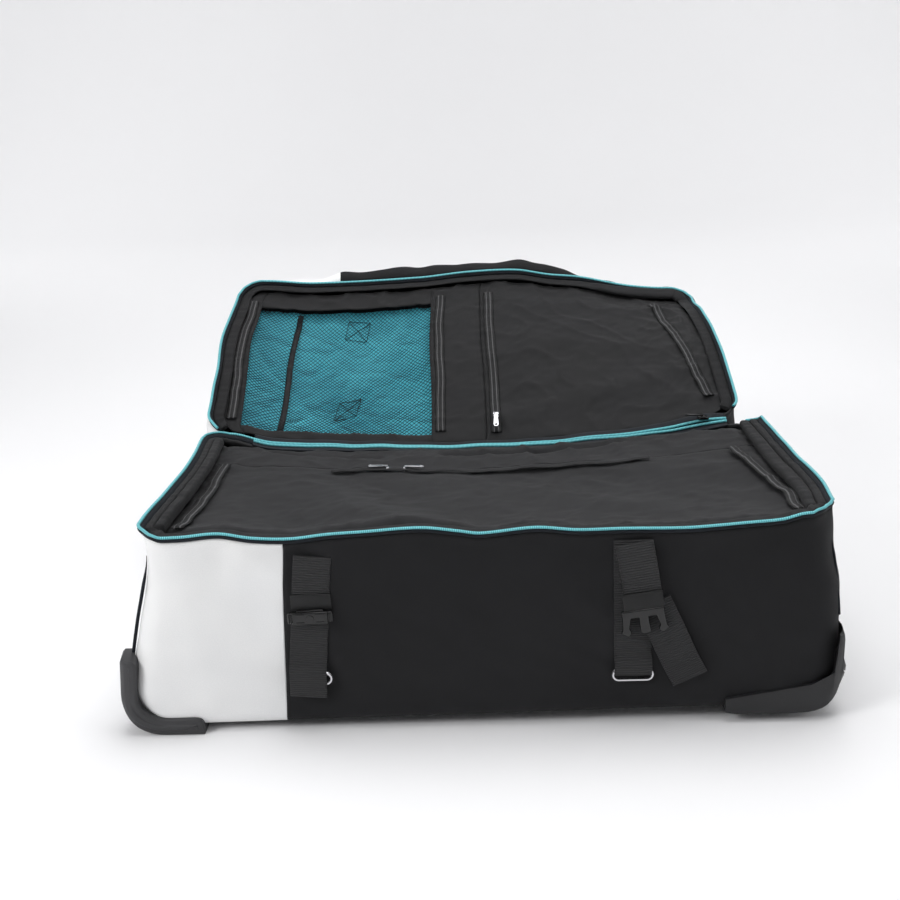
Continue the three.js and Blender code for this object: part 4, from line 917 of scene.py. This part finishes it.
def lidTop(u, w):
    point = lidFlat(u, w)
    point.z += ridgeHeight(lidPanelLook["ridges"], u, w, 0.06) - lidPanelLook["sag"] * hollow(u, w)
    point.z += ripple(point, 0.022, 12) * 1.6 + ripple((point.x, point.y * 2, 0), 0.05, 19) * 0.8
    point.z += crumple(point, 15) * (1.5 + 1.5 * smooth(u, 0.85, 0.95) + smooth(w, 0.85, 0.95))
    point.z -= tuck(u, w, 1.2)
    return point


split = lidPanelLook["split"]
left, right, front, back = lidPanelLook["window"]
frameStrips = {
    "Left": (0, left, 0, 1), "Right": (right, split, 0, 1),
    "Front": (left, right, 0, front), "Back": (left, right, back, 1),
}
strips = []
for side, (a, b, c, d) in frameStrips.items():
    strip = layGrid(
        "lidFrame" + side, max(int((b - a) * 150), 6), max(int((d - c) * 90), 5),
        lambda u, v: onLid(lidTop(mix(a, b, u), mix(c, d, v))), "lidCloth",
        lambda spot: Vector((0, -0.4, 0.9)),
    )
    strips.append(strip)
for strip in strips:
    strip.select_set(True)
bpy.context.view_layer.objects.active = strips[0]
bpy.ops.object.join()
lidFrame = bpy.context.object
lidFrame.name = "lidFrame"
bpy.ops.object.select_all(action="DESELECT")
applyModifier(lidFrame, "SOLIDIFY", thickness=lidPanelLook["thick"] * mm, offset=-1)
seat(lidFrame, "inner_cloth", "lid_frame")
pocket = panel("pocketPanel", lidTop, split + 0.001, 1, 0, 1, 110, 90, "lidCloth",
               lidPanelLook["thick"], onLid)
seat(pocket, "inner_cloth", "lid_pocket_panel")
declareSheet(pocket, lidTop, split + 0.001, 1, 0, 1, "stretched")
print("lid panels made")


# Net window over its lining: both hang in a shallow bowl
netLook = {"sag": 24, "below": 3.4, "apart": 6.6, "pitch": 6.8, "yarn": 1.25, "overlap": 0.012}


def netTop(lower, u, w):
    left, right, front, back = lidPanelLook["window"]
    over = netLook["overlap"]
    across = (u - left + over) / (right - left + 2 * over)
    deep = (w - front + over) / (back - front + 2 * over)
    bowl = hollow(across, deep) ** 0.6
    point = lidTop(u, w)
    fold = math.exp(-(((across - 0.21 - deep * 0.03) / 0.03) ** 2)) * hollow(across, deep) ** 0.4
    crease = fold * (2.5 if lower else -3.5)
    point.z -= netLook["below"] + lower + netLook["sag"] * bowl - crease
    point.z += ripple(point, 0.03, 30) * 2.5 * bowl
    return point


over = netLook["overlap"]
box = (left - over, right + over, front - over, back + over)
lining = panel("netLining", lambda u, w: netTop(netLook["apart"], u, w), *box, 70, 64,
               "liningCloth", 1.2, onLid)
seat(lining, "lining", "net_lining")
declareSheet(lining, lambda u, w: netTop(netLook["apart"], u, w), *box, "stretched")


liningLook = {
    # fold and the line after it: width and run of a flattened black strip along the lining's fold, a painted
    # shade where the fold goes deep
    "yarn": 0.9, "fold": 9, "shadeStripLine": (0.21, 0.02, 0.24, 0.98),
    # crosses as corners in shares of the window
    "crosses": [((0.50, 0.82), (0.62, 0.80), (0.63, 0.93), (0.51, 0.95)),
                ((0.47, 0.19), (0.58, 0.23), (0.60, 0.38), (0.49, 0.34))],
}


def onLining(a, b, rise):
    u, w = mix(box[0], box[1], a), mix(box[2], box[3], b)
    point = netTop(netLook["apart"], u, w)
    return onLid(point + Vector((0, 0, rise)))


def layYarn(name, start, end, radius, finish, steps=24, flat=1.0):
    sides = 6
    up = onLid(Vector((0, 0, 1))) - onLid(Vector((0, 0, 0)))

    def spot(u, v):
        middle = onLining(mix(start[0], end[0], u), mix(start[1], end[1], u), radius * flat + 0.7)
        ahead = onLining(end[0], end[1], 0) - onLining(start[0], start[1], 0)
        across = ahead.cross(up).normalized()
        angle = (int(round(v * sides)) % sides) * math.tau / sides
        return middle + across * radius * math.cos(angle) + up * radius * flat * math.sin(angle)

    piece = layGrid(name, steps, sides, spot, finish)
    closeEnds(piece)
    return piece


def makeStitchesAndShadeStrip():
    yarns = []
    for corners in liningLook["crosses"]:
        sides = list(zip(corners, corners[1:] + corners[:1]))
        pairs = sides + [(corners[0], corners[2]), (corners[1], corners[3])]
        for start, end in pairs:
            yarns.append(layYarn("stitchYarn", start, end, liningLook["yarn"] / 2, "tapeCloth"))
    # a flattened black strip laid along the lining's fold: painted shade in the fold, joined with the
    # stitches
    a, b, c, d = liningLook["shadeStripLine"]
    yarns.append(layYarn("paintedShadeStrip", (a, b), (c, d), liningLook["fold"] / 2, "blackTwill", 60, 0.3))
    for yarn in yarns:
        yarn.select_set(True)
    bpy.context.view_layer.objects.active = yarns[0]
    bpy.ops.object.join()
    stitches = bpy.context.object
    stitches.name = "liningStitchesAndShadeStrip"
    stitches.select_set(False)
    seat(stitches, "black_cloth")


makeStitchesAndShadeStrip()
print("lining stitched")


def makeNetPiece():
    long, deep = 292, 290
    columns, rows = int(long / netLook["pitch"]), int(deep / netLook["pitch"])

    def spot(u, v):
        return onLid(netTop(0, mix(box[0], box[1], u), mix(box[2], box[3], v)))

    bpy.ops.mesh.primitive_grid_add(x_subdivisions=columns, y_subdivisions=rows, size=1)
    net = bpy.context.object
    net.name = "netWindow"
    bpy.ops.object.mode_set(mode="EDIT")
    bpy.ops.mesh.select_all(action="SELECT")
    bpy.ops.mesh.poke()
    bpy.ops.object.mode_set(mode="OBJECT")
    # each square is opened to a lozenge: the square's own edges go, those to its middle stay
    sheet = bmesh.new()
    sheet.from_mesh(net.data)
    plainEdges = [e for e in sheet.edges if e.is_boundary is False and abs((e.verts[0].co - e.verts[1].co).x
                  * (e.verts[0].co - e.verts[1].co).y) < 1e-9]
    bmesh.ops.dissolve_edges(sheet, edges=plainEdges, use_verts=False)
    for vertex in sheet.verts:
        vertex.co = spot(clamp(vertex.co.x + 0.5, 0, 1), clamp(vertex.co.y + 0.5, 0, 1)) * mm + bagShift
    sheet.to_mesh(net.data)
    sheet.free()
    applyModifier(net, "WIREFRAME", thickness=netLook["yarn"] * mm, use_replace=True, use_even_offset=False)
    net.data.materials.append(finishes["net"])
    bpy.ops.object.select_all(action="DESELECT")
    return net


net = makeNetPiece()
seat(net, "net", "net_window")
print("net made")


# Zips on the panels: tape with a raised coil, wandering a little
zipLook = {"half": 7.5, "coil": 2.2, "high": 1.9, "base": 0.8, "lift": 0.9, "finish": "zipTape"}
hiddenZip = {
    **zipLook, "half": 6.0, "coil": 1.6, "high": 1.5, "base": 0.9, "lift": 2.6, "finish": "insideCloth",
}
endZip = {**zipLook, "lift": 2.6}


def zipProfile(look):
    half, coil, high, base = look["half"], look["coil"], look["high"], look["base"]
    return [
        (-half, 0.2), (-half * 0.7, base), (-coil - 0.9, base), (-coil, high * 0.8), (-coil * 0.4, high),
        (0, high * 0.92), (coil * 0.4, high), (coil, high * 0.8), (coil + 0.9, base), (half * 0.7, base),
        (half, 0.2), (0, -0.6),
    ]


def layZip(name, node, top, start, end, pose, wander=1.6, look=zipLook, steps=90):
    section = zipProfile(look)
    alongX = abs(end[0] - start[0]) > abs(end[1] - start[1])

    def centre(share):
        u, w = mix(start[0], end[0], share), mix(start[1], end[1], share)
        drift = noise.noise(Vector((share * 6, len(name), 2.2))) * wander
        point = top(u, w)
        reach = (0, 0.028) if alongX else (0.012, 0)
        point.z = max(top(u + reach[0] * k, w + reach[1] * k).z for k in (-1, 0, 1)) + look["lift"]
        return point + (Vector((0, drift, 0)) if alongX else Vector((drift, 0, 0)))

    line = [centre(i / steps) for i in range(steps + 1)]

    def spot(u, v):
        i = clamp(int(round(u * steps)), 0, steps)
        ahead, behind = line[min(i + 1, steps)], line[max(i - 1, 0)]
        along = (ahead - behind).normalized()
        across = along.cross(Vector((0, 0, 1))).normalized()
        side, rise = section[int(round(v * len(section))) % len(section)]
        return pose(line[i] + across * side + Vector((0, 0, rise)))

    piece = layGrid(name, steps, len(section), spot, look["finish"])
    layer = piece.data.uv_layers.active.data
    for polygon in piece.data.polygons:
        for loopIndex in polygon.loop_indices:
            vertex = piece.data.vertices[piece.data.loops[loopIndex].vertex_index]
            local = vertex.co
            layer[loopIndex].uv[1] = acrossLine(local, line, pose)
    closeEnds(piece)
    seat(piece, "zip_tape", node)
    return piece


def acrossLine(spot, line, pose):
    # how far a point lies beside the zip's middle, in metres
    place = (spot - bagShift) / mm
    near = min(range(len(line)), key=lambda i: (pose(line[i]) - place).length_squared)
    middle = pose(line[near])
    ahead = pose(line[min(near + 1, len(line) - 1)]) - pose(line[max(near - 1, 0)])
    ahead.normalize()
    away = place - middle
    away -= ahead * away.dot(ahead)
    up = pose(Vector((0, 0, 1))) - pose(Vector((0, 0, 0)))
    side = ahead.cross(up).normalized()
    return away.dot(side) * mm


zips = [
    ("coverZipLeft", "cover_zip_left", coverTop, (0.03, 0.04), (0.026, 0.72), plain, 2.0, endZip),
    ("coverZipRight", "cover_zip_right", coverTop, (0.978, 0.06), (0.952, 0.74), plain, 4.0, endZip),
    ("coverZipBack", "cover_zip_back", coverTop, (0.22, 0.72), (0.8, 0.72), plain, 1.0, hiddenZip),
    ("lidZipLeft", "lid_zip_left", lidTop, (0.02, 0.06), (0.018, 0.92), onLid, 2.0),
    ("lidZipCentre", "lid_zip_centre", lidTop, (0.438, 0.05), (0.442, 0.92), onLid, 2.0),
    ("lidZipSecond", "lid_zip_second", lidTop, (0.55, 0.04), (0.55, 0.91), onLid, 0.8),
    ("lidZipRight", "lid_zip_right", lidTop, (0.975, 0.1), (0.92, 0.88), onLid, 3.0),
]
for entry in zips:
    layZip(*entry)
print("zips made")


# Hinge: two coils side by side on a tape that lies on both rims
hingeLook = {"half": 13, "thick": 1.8, "from": -304, "to": 337, "steps": 150}


def rimHeights(half, start, pose):
    points = [pose(onCase(half, start + i / 120, 1)) for i in range(121)]
    return sorted(points, key=lambda p: p.x)


nearRim = rimHeights(lower, 4, plain)
lidRim = rimHeights(lid, 0, onLid)


def heightAt(rim, x):
    for a, b in zip(rim, rim[1:]):
        if b.x >= x:
            return mix(a.z, b.z, clamp((x - a.x) / max(b.x - a.x, 1e-6), 0, 1))
    return rim[-1].z


def hingeSection(x):
    near, far = heightAt(nearRim, x) + 0.5, heightAt(lidRim, x) - 0.2
    wander = noise.noise(Vector((x * 0.011, 5.3, 0)))
    middle = 191.5 + wander * 4
    lift = noise.noise(Vector((x * 0.017, 9.1, 0))) * 3
    return middle, near + lift, far + lift


def layHinge():
    steps = hingeLook["steps"]
    half, thick = hingeLook["half"], hingeLook["thick"]
    slope = math.tan(lidTilt)

    def spot(u, v):
        x = mix(hingeLook["from"], hingeLook["to"], u)
        middle, near, far = hingeSection(x)
        across = mix(-half, half, v)
        share = smooth(across, -9, 9)
        return Vector((x, middle + across, mix(near, far + max(across, 0) * slope, share) + thick))

    tape = layGrid("hingeTape", steps, 16, spot, "tapeCloth", lambda spot: Vector((0, 0, 1)))
    applyModifier(tape, "SOLIDIFY", thickness=thick * mm, offset=-1)
    seat(tape, "zip_tape", "hinge_zip_tape")
    coils = []
    for side, shift in (("Near", -2.3), ("Far", 2.3)):
        def coilSpot(u, v):
            x = mix(hingeLook["from"], hingeLook["to"], u)
            middle, near, far = hingeSection(x)
            share = smooth(shift, -9, 9)
            floor = mix(near, far, share) + max(shift, 0) * slope + thick
            angle = v * math.tau
            wave = noise.noise(Vector((x * 0.02, 1.3, 0))) * 1.5
            return Vector((
                x, middle + shift + wave + 2.1 * math.cos(angle), floor + 1.6 + 1.9 * math.sin(angle)))

        coils.append(layGrid("hingeCoil" + side, 260, 8, coilSpot, "tealCoil"))
        closeEnds(coils[-1])
    for piece in coils:
        piece.select_set(True)
    bpy.context.view_layer.objects.active = coils[0]
    bpy.ops.object.join()
    coil = bpy.context.object
    coil.name = "hingeCoil"
    bpy.ops.object.select_all(action="DESELECT")
    seat(coil, "zip_coil", "hinge_zip_coil")


layHinge()
print("hinge made")


# Straps: webbing bands on the front wall
strapLook = {"half": 20, "thick": 1.8}
frontTaper = lower["taper"][2]


def onFront(x, z, off):
    up = (z - lower["bottom"]) / (lower["rim"] - lower["bottom"])
    inset = lower["sectionTable"].at(up)[2] * frontTaper
    return Vector((x, -lower["front"] + inset - 0.3 - off, z))


straps = {
    "leftStrapUpper": {"node": "left_strap_upper", "half": 20,
                       "rows": [(206, -177, 0.8), (178, -180, 0.8), (149, -182, 1.2)]},
    "leftStrapLower": {"node": "left_strap_lower", "half": 20,
                       "rows": [(134, -183.5, 1.0), (90, -188, 1.0), (78, -189, 4.6),
                                (56, -190, 4.6), (44, -191, 2.0)]},
    "rightStrapVertical": {"node": "right_strap_vertical", "half": 20,
                           "rows": [(215, 160, 0.6), (140, 160, 0.6), (84, 160.5, 0.6),
                                    (76, 161, 4.6), (63, 161, 4.6)]},
    "rightStrapTail": {"node": "right_strap_tail", "half": 20,
                       "rows": [(147, 180.5, 2.2), (118, 194, 3.0), (82, 210, 3.6), (55, 223, 1.2)]},
    "rightStrapUpper": {"node": "right_strap_upper", "half": 20,
                        "rows": [(213, 161, 4.6), (176, 167, 6.6), (141, 172, 5.6)]},
}


def layStrap(name, look):
    table = Table([(-z, x, off) for z, x, off in look["rows"]])
    high, low = look["rows"][0][0], look["rows"][-1][0]
    steps = max(int((high - low) / 3), 8)

    def centre(share):
        z = mix(high, low, share)
        x, off = table.at(-z)
        return onFront(x, z, off)

    def spot(u, v):
        point = centre(u)
        ahead = centre(min(u + 0.02, 1)) - centre(max(u - 0.02, 0))
        across = Vector((ahead.z, 0, -ahead.x)).normalized()
        side = mix(-look["half"], look["half"], v)
        cup = (side / look["half"]) ** 2 * 0.5
        return point + across * side + Vector((0, cup, 0))

    piece = layGrid(name, steps, 10, spot, "webbing", lambda spot: Vector((0, -1, 0)))
    applyModifier(piece, "SOLIDIFY", thickness=strapLook["thick"] * mm, offset=1)
    applyModifier(piece, "BEVEL", width=0.0004, segments=1, limit_method="ANGLE")
    seat(piece, "black_cloth", look["node"])
    return piece


for name, look in straps.items():
    layStrap(name, look)
print("straps made")


# Piping down the upright corners, thinning to its top end
pipings = {
    "pipingLeftFront": {"node": "piping_left_front", "place": 7.22, "low": 86, "high": 205, "radius": 2.0},
    "pipingLeftBack": {"node": "piping_left_back", "place": 5.78, "low": 86, "high": 200, "radius": 2.0},
    "pipingRightFront": {"node": "piping_right_front", "place": 1.72, "low": 112, "high": 208, "radius": 1.5},
    "pipingRightBack": {"node": "piping_right_back", "place": 3.28, "low": 112, "high": 205, "radius": 1.5},
}


def layPiping(name, look):
    depth = lower["rim"] - lower["bottom"]
    sides = 10

    def spot(u, v):
        height = mix(look["low"], look["high"], u)
        radius = look["radius"] * (1 - 0.8 * smooth(u, 0.7, 1.0))
        place = look["place"] + (0.12 if "Left" in name else 0) * smooth(u, 0.6, 1.0)
        up = (height - lower["bottom"]) / depth
        middle = onCase(lower, place, up, radius * 0.6)
        outer = (onCase(lower, place, up, 10) - onCase(lower, place, up, 0)).normalized()
        across = outer.cross(Vector((0, 0, 1))).normalized()
        angle = (int(round(v * sides)) % sides) * math.tau / sides
        return middle + outer * radius * math.cos(angle) + across * radius * math.sin(angle)

    piece = layGrid(name, 50, sides, spot, "tapeCloth")
    closeEnds(piece)
    seat(piece, "zip_tape", look["node"])


for name, look in pipings.items():
    layPiping(name, look)
print("piping made")


# Moulded and metal pieces carried over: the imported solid, merged, with its edges eased
carried = {
    "corner_guard_front": ("guardPlastic", "guard_plastic", 0.6, "bag"),
    "corner_guard_back": ("guardPlastic", "guard_plastic", 0.6, "bag"),
    "wheel_housing_front": ("housingPlastic", "guard_plastic", 1.0, "bag"),
    "wheel_housing_back": ("housingPlastic", "guard_plastic", 1.0, "bag"),
    "wheel_front": ("wheelRubber", "wheel", 0.8, "wheel_front"),
    "wheel_back": ("wheelRubber", "wheel", 0.8, "wheel_back"),
    "base_board": ("boardPlastic", "board", 0.0, "bag"),
    "right_buckle": ("bucklePlastic", "buckle_plastic", 0.5, "bag"),
    "left_strap_band": ("webbing", "black_cloth", 0.3, "bag"),
    "right_strap_band": ("webbing", "black_cloth", 0.3, "bag"),
    "left_ring": ("metal", "bright_metal", 0.0, "bag"),
    "right_ring": ("metal", "bright_metal", 0.0, "bag"),
    "cover_left_slider": ("metal", "bright_metal", 0.4, "bag"),
    "cover_right_slider": ("metal", "bright_metal", 0.4, "bag"),
    "lid_slider": ("metal", "bright_metal", 0.4, "bag"),
    "cover_left_tab": ("metal", "bright_metal", 0.3, "cover_left_tab"),
    "cover_right_tab": ("metal", "bright_metal", 0.3, "cover_right_tab"),
    "lid_tab": ("metal", "bright_metal", 0.3, "lid_tab"),
    "hinge_slider": ("bucklePlastic", "buckle_plastic", 0.4, "bag"),
    "hinge_tab": ("bucklePlastic", "buckle_plastic", 0.3, "hinge_tab"),
}


# outer edge, lowest line, round of the lower corner seen from the front, and round of the upright corner
wraps = {
    "guardPlastic": {"out": -398, "low": 0, "round": 50, "plan": 15, "band": (4.5, 1.2, 1.5), "lean": 5.5},
    "housingPlastic": {
        "out": 394, "low": 11, "round": 50, "plan": 25, "narrow": 0.5, "lower": 0.86, "proud": 1.8,
    },
}


def roundCorner(piece, wrap):
    # wraps a guard or housing round the upright corner of the bag
    side = 1 if wrap["out"] > 0 else -1
    sheet = bmesh.new()
    sheet.from_mesh(piece.data)
    facing = -1 if sum(v.co.y for v in sheet.verts) < 0 else 1
    if "band" in wrap:
        # raised band along the middle of the plate
        margin, step, rise = wrap["band"]
        plate = [f for f in sheet.faces if f.normal.y * facing > 0.9 and f.calc_area() > 0.0008]
        bmesh.ops.inset_region(sheet, faces=plate, thickness=margin * mm, use_even_offset=True)
        bmesh.ops.inset_region(sheet, faces=plate, thickness=step * mm, depth=rise * mm, use_even_offset=True)
    if "narrow" in wrap:
        # upright leg of the plate drawn in towards the outer edge
        for vertex in sheet.verts:
            point = (vertex.co - bagShift) / mm
            reach = (wrap["out"] - point.x) * side
            if point.z > 44 and reach < 90:
                vertex.co.x += side * reach * wrap["narrow"] * smooth(point.z, 40, 52) * mm
                vertex.co.z -= (point.z - 44) * (1 - wrap["lower"]) * mm
    if "lean" in wrap:
        # the plate stands out a little further towards its foot
        for vertex in sheet.verts:
            point = (vertex.co - bagShift) / mm
            reach = (wrap["out"] - point.x) * side
            share = (1 - smooth(point.z, 20, 95)) * (1 - smooth(reach, 20, 85))
            vertex.co.x += side * wrap["lean"] * share * mm
    for inwards in (4, 9, 15, 22, 29, 36, 44, 52, 60, 70):
        everything = sheet.verts[:] + sheet.edges[:] + sheet.faces[:]
        spot = Vector((wrap["out"] - side * inwards, 0, 0)) * mm + bagShift
        bmesh.ops.bisect_plane(sheet, geom=everything, plane_co=spot, plane_no=(1, 0, 0), dist=0.00001)
    for vertex in sheet.verts:
        point = (vertex.co - bagShift) / mm
        height = point.z - wrap["low"]
        plan = wrap["plan"] * smooth(height, -6, 40)
        if plan < 1:
            continue
        lean = wrap.get("lean", 0) * (1 - smooth(point.z, 20, 95))
        edge = wrap["out"] + side * lean - side * roundInset(height, wrap["round"])
        face = -lower["front"] - 4 if point.y < 0 else lower["back"] + 4
        centre = Vector((edge - side * plan, face + (plan if point.y < 0 else -plan), point.z))
        away = point - centre
        outside = away.x * side > 0 and (away.y < 0) == (point.y < 0)
        if outside and away.length > plan:
            kept = min(plan + wrap.get("proud", 0), away.length)
            vertex.co = (centre + away * (kept / away.length)) * mm + bagShift
    sheet.normal_update()
    sheet.to_mesh(piece.data)
    sheet.free()


# webbing stretches a little under the parts it holds
nudges = {"right_buckle": (-4, 0, 5), "right_strap_band": (-1, -0.4, 2)}


def carryOver(node, finish, slotName, ease, body):
    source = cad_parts[node]
    mesh = source.data.copy()
    mesh.materials.clear()
    words = node.split("_")
    name = words[0] + "".join(word.capitalize() for word in words[1:]) + "Piece"
    piece = bpy.data.objects.new(name, mesh)
    bpy.context.scene.collection.objects.link(piece)
    bpy.context.view_layer.objects.active = piece
    piece.select_set(True)
    bpy.ops.object.mode_set(mode="EDIT")
    bpy.ops.mesh.select_all(action="SELECT")
    bpy.ops.mesh.remove_doubles(threshold=0.00001)
    bpy.ops.mesh.dissolve_limited(angle_limit=math.radians(1))
    bpy.ops.mesh.select_all(action="DESELECT")
    bpy.ops.object.mode_set(mode="OBJECT")
    if finish in ("guardPlastic", "housingPlastic"):
        roundCorner(piece, wraps[finish])
    if node in nudges:
        mesh.transform(Matrix.Translation(Vector(nudges[node]) * mm))
    if ease:
        applyModifier(piece, "BEVEL", width=ease * mm, segments=2, limit_method="ANGLE",
                      angle_limit=math.radians(35), harden_normals=False)
    bpy.ops.object.shade_smooth_by_angle(angle=math.radians(38))
    piece.data.materials.append(finishes[finish])
    piece.select_set(False)
    return seat(piece, slotName, node, body=body)


for node, (finish, slotName, ease, body) in carried.items():
    carryOver(node, finish, slotName, ease, body)
print("moulded pieces made")


# The fastened buckle: body, side ribs and a round button, seen from the front
buckleLook = {
    "middle": (-182, 141.5), "turn": -0.03, "size": (51, 14, 7), "off": 3.2, "ribs": 4,
    "button": 4.2, "prong": 8,
}


def makeBuckle():
    x, z = buckleLook["middle"]
    wide, high, deep = buckleLook["size"]
    place = onFront(x, z, buckleLook["off"] + deep / 2) * mm + bagShift
    parts = []

    def block(name, size, shift, ease, segments=3):
        bpy.ops.mesh.primitive_cube_add(size=1, location=(0, 0, 0))
        part = bpy.context.object
        part.name = name
        for vertex in part.data.vertices:
            vertex.co = Vector(shift) * mm + Vector(a * b for a, b in zip(vertex.co, size)) * mm
        applyModifier(part, "BEVEL", width=ease * mm, segments=segments)
        parts.append(part)
        return part

    block("buckleBody", (wide - 12, deep, high), (0, 0, 0), 1.6)
    block("buckleBridge", (wide - 22, deep * 0.5, high + 3), (0, deep * 0.2, 0), 1.0)
    for side in (-1, 1):
        block("buckleWing", (buckleLook["prong"], deep * 0.8, high - 1), (side * (wide / 2 - 5), 0.4, 0), 2.4)
        for k in range(buckleLook["ribs"]):
            shift = (side * (wide / 2 - 9 + k * 2.0), -deep * 0.42, 0)
            block("buckleRib", (0.8, 1.4, high - 3.5), shift, 0.3, 1)
        block("buckleRail", (9, 1.2, 1.6), (side * 10.5, -deep * 0.5, high * 0.32), 0.5, 2)
        block("buckleRail", (9, 1.2, 1.6), (side * 10.5, -deep * 0.5, -high * 0.32), 0.5, 2)
    bpy.ops.mesh.primitive_cylinder_add(vertices=24, radius=buckleLook["button"] * mm, depth=2.2 * mm,
                                        location=(0, -deep * 0.5 * mm, 0), rotation=(math.pi / 2, 0, 0))
    button = bpy.context.object
    button.name = "buckleButton"
    bpy.ops.object.transform_apply(location=True, rotation=True, scale=True)
    applyModifier(button, "BEVEL", width=0.5 * mm, segments=3, limit_method="ANGLE")
    parts.append(button)
    bpy.ops.object.select_all(action="DESELECT")
    for part in parts:
        part.select_set(True)
    bpy.context.view_layer.objects.active = parts[0]
    bpy.ops.object.join()
    buckle = bpy.context.object
    buckle.name = "leftBuckle"
    turned = Matrix.Translation(place) @ Matrix.Rotation(buckleLook["turn"], 4, "Y")
    buckle.data.transform(turned)
    bpy.ops.object.shade_smooth_by_angle(angle=math.radians(40))
    buckle.data.materials.append(finishes["bucklePlastic"])
    buckle.select_set(False)
    seat(buckle, "buckle_plastic", "left_buckle")


makeBuckle()
print("buckle made")


# Floor, backdrop and light
studio = {"floor": 12.0, "wallHigh": 6.0}


def makeStudio():
    bpy.ops.mesh.primitive_plane_add(size=studio["floor"], location=(0, 0, 0))
    floor = bpy.context.object
    floor.name = "studioFloor"
    bpy.ops.object.mode_set(mode="EDIT")
    sheet = bmesh.from_edit_mesh(floor.data)
    for edge in sheet.edges:
        edge.select = all(v.co.y > 1 for v in edge.verts)
    bmesh.update_edit_mesh(floor.data)
    bpy.ops.mesh.extrude_region_move(TRANSFORM_OT_translate={"value": (0, 0, studio["wallHigh"])})
    bpy.ops.object.mode_set(mode="OBJECT")
    applyModifier(floor, "BEVEL", width=2.5, segments=16, limit_method="ANGLE")
    bpy.ops.object.shade_smooth()
    paper = Surface("studioPaper", {"Roughness": 0.9, "Specular IOR Level": 0.1})
    paper.feed("Base Color", paper.between(paper.noise(0.6, 1), tone(243, 243, 244), tone(247, 247, 248)))
    floor.data.materials.append(paper.material)
    floor.select_set(False)
    world = bpy.data.worlds.new("studioSky")
    bpy.context.scene.world = world
    world.use_nodes = True
    sky = world.node_tree.nodes["Background"]
    sky.inputs["Color"].default_value = (0.97, 0.98, 1.0, 1)
    sky.inputs["Strength"].default_value = 0.78
    bpy.context.scene.view_settings.view_transform = "Standard"
    lamps = [
        ("overhead", (0.3, 0.2, 2.6), None, 2.2, 52),
        ("leftBox", (-2.2, -1.6, 1.8), None, 1.0, 36),
        ("rightBox", (2.4, -1.2, 1.6), None, 1.4, 8),
        ("backdropLeft", (-2.6, 2.6, 2.4), (-0.8, 6, 1.2), 2.4, 43),
        ("backdropRight", (2.6, 2.6, 2.4), (0.8, 6, 1.2), 2.4, 43),
    ]
    for name, place, target, size, power in lamps:
        bpy.ops.object.light_add(type="AREA", location=place)
        lamp = bpy.context.object
        lamp.name = name
        lamp.data.size = size
        lamp.data.energy = power
        aim = Vector(target or (0, 0, 0.15)) - Vector(place)
        lamp.rotation_mode = "QUATERNION"
        lamp.rotation_quaternion = aim.to_track_quat("-Z", "Y")
        lamp.select_set(False)


makeStudio()
print("studio made")
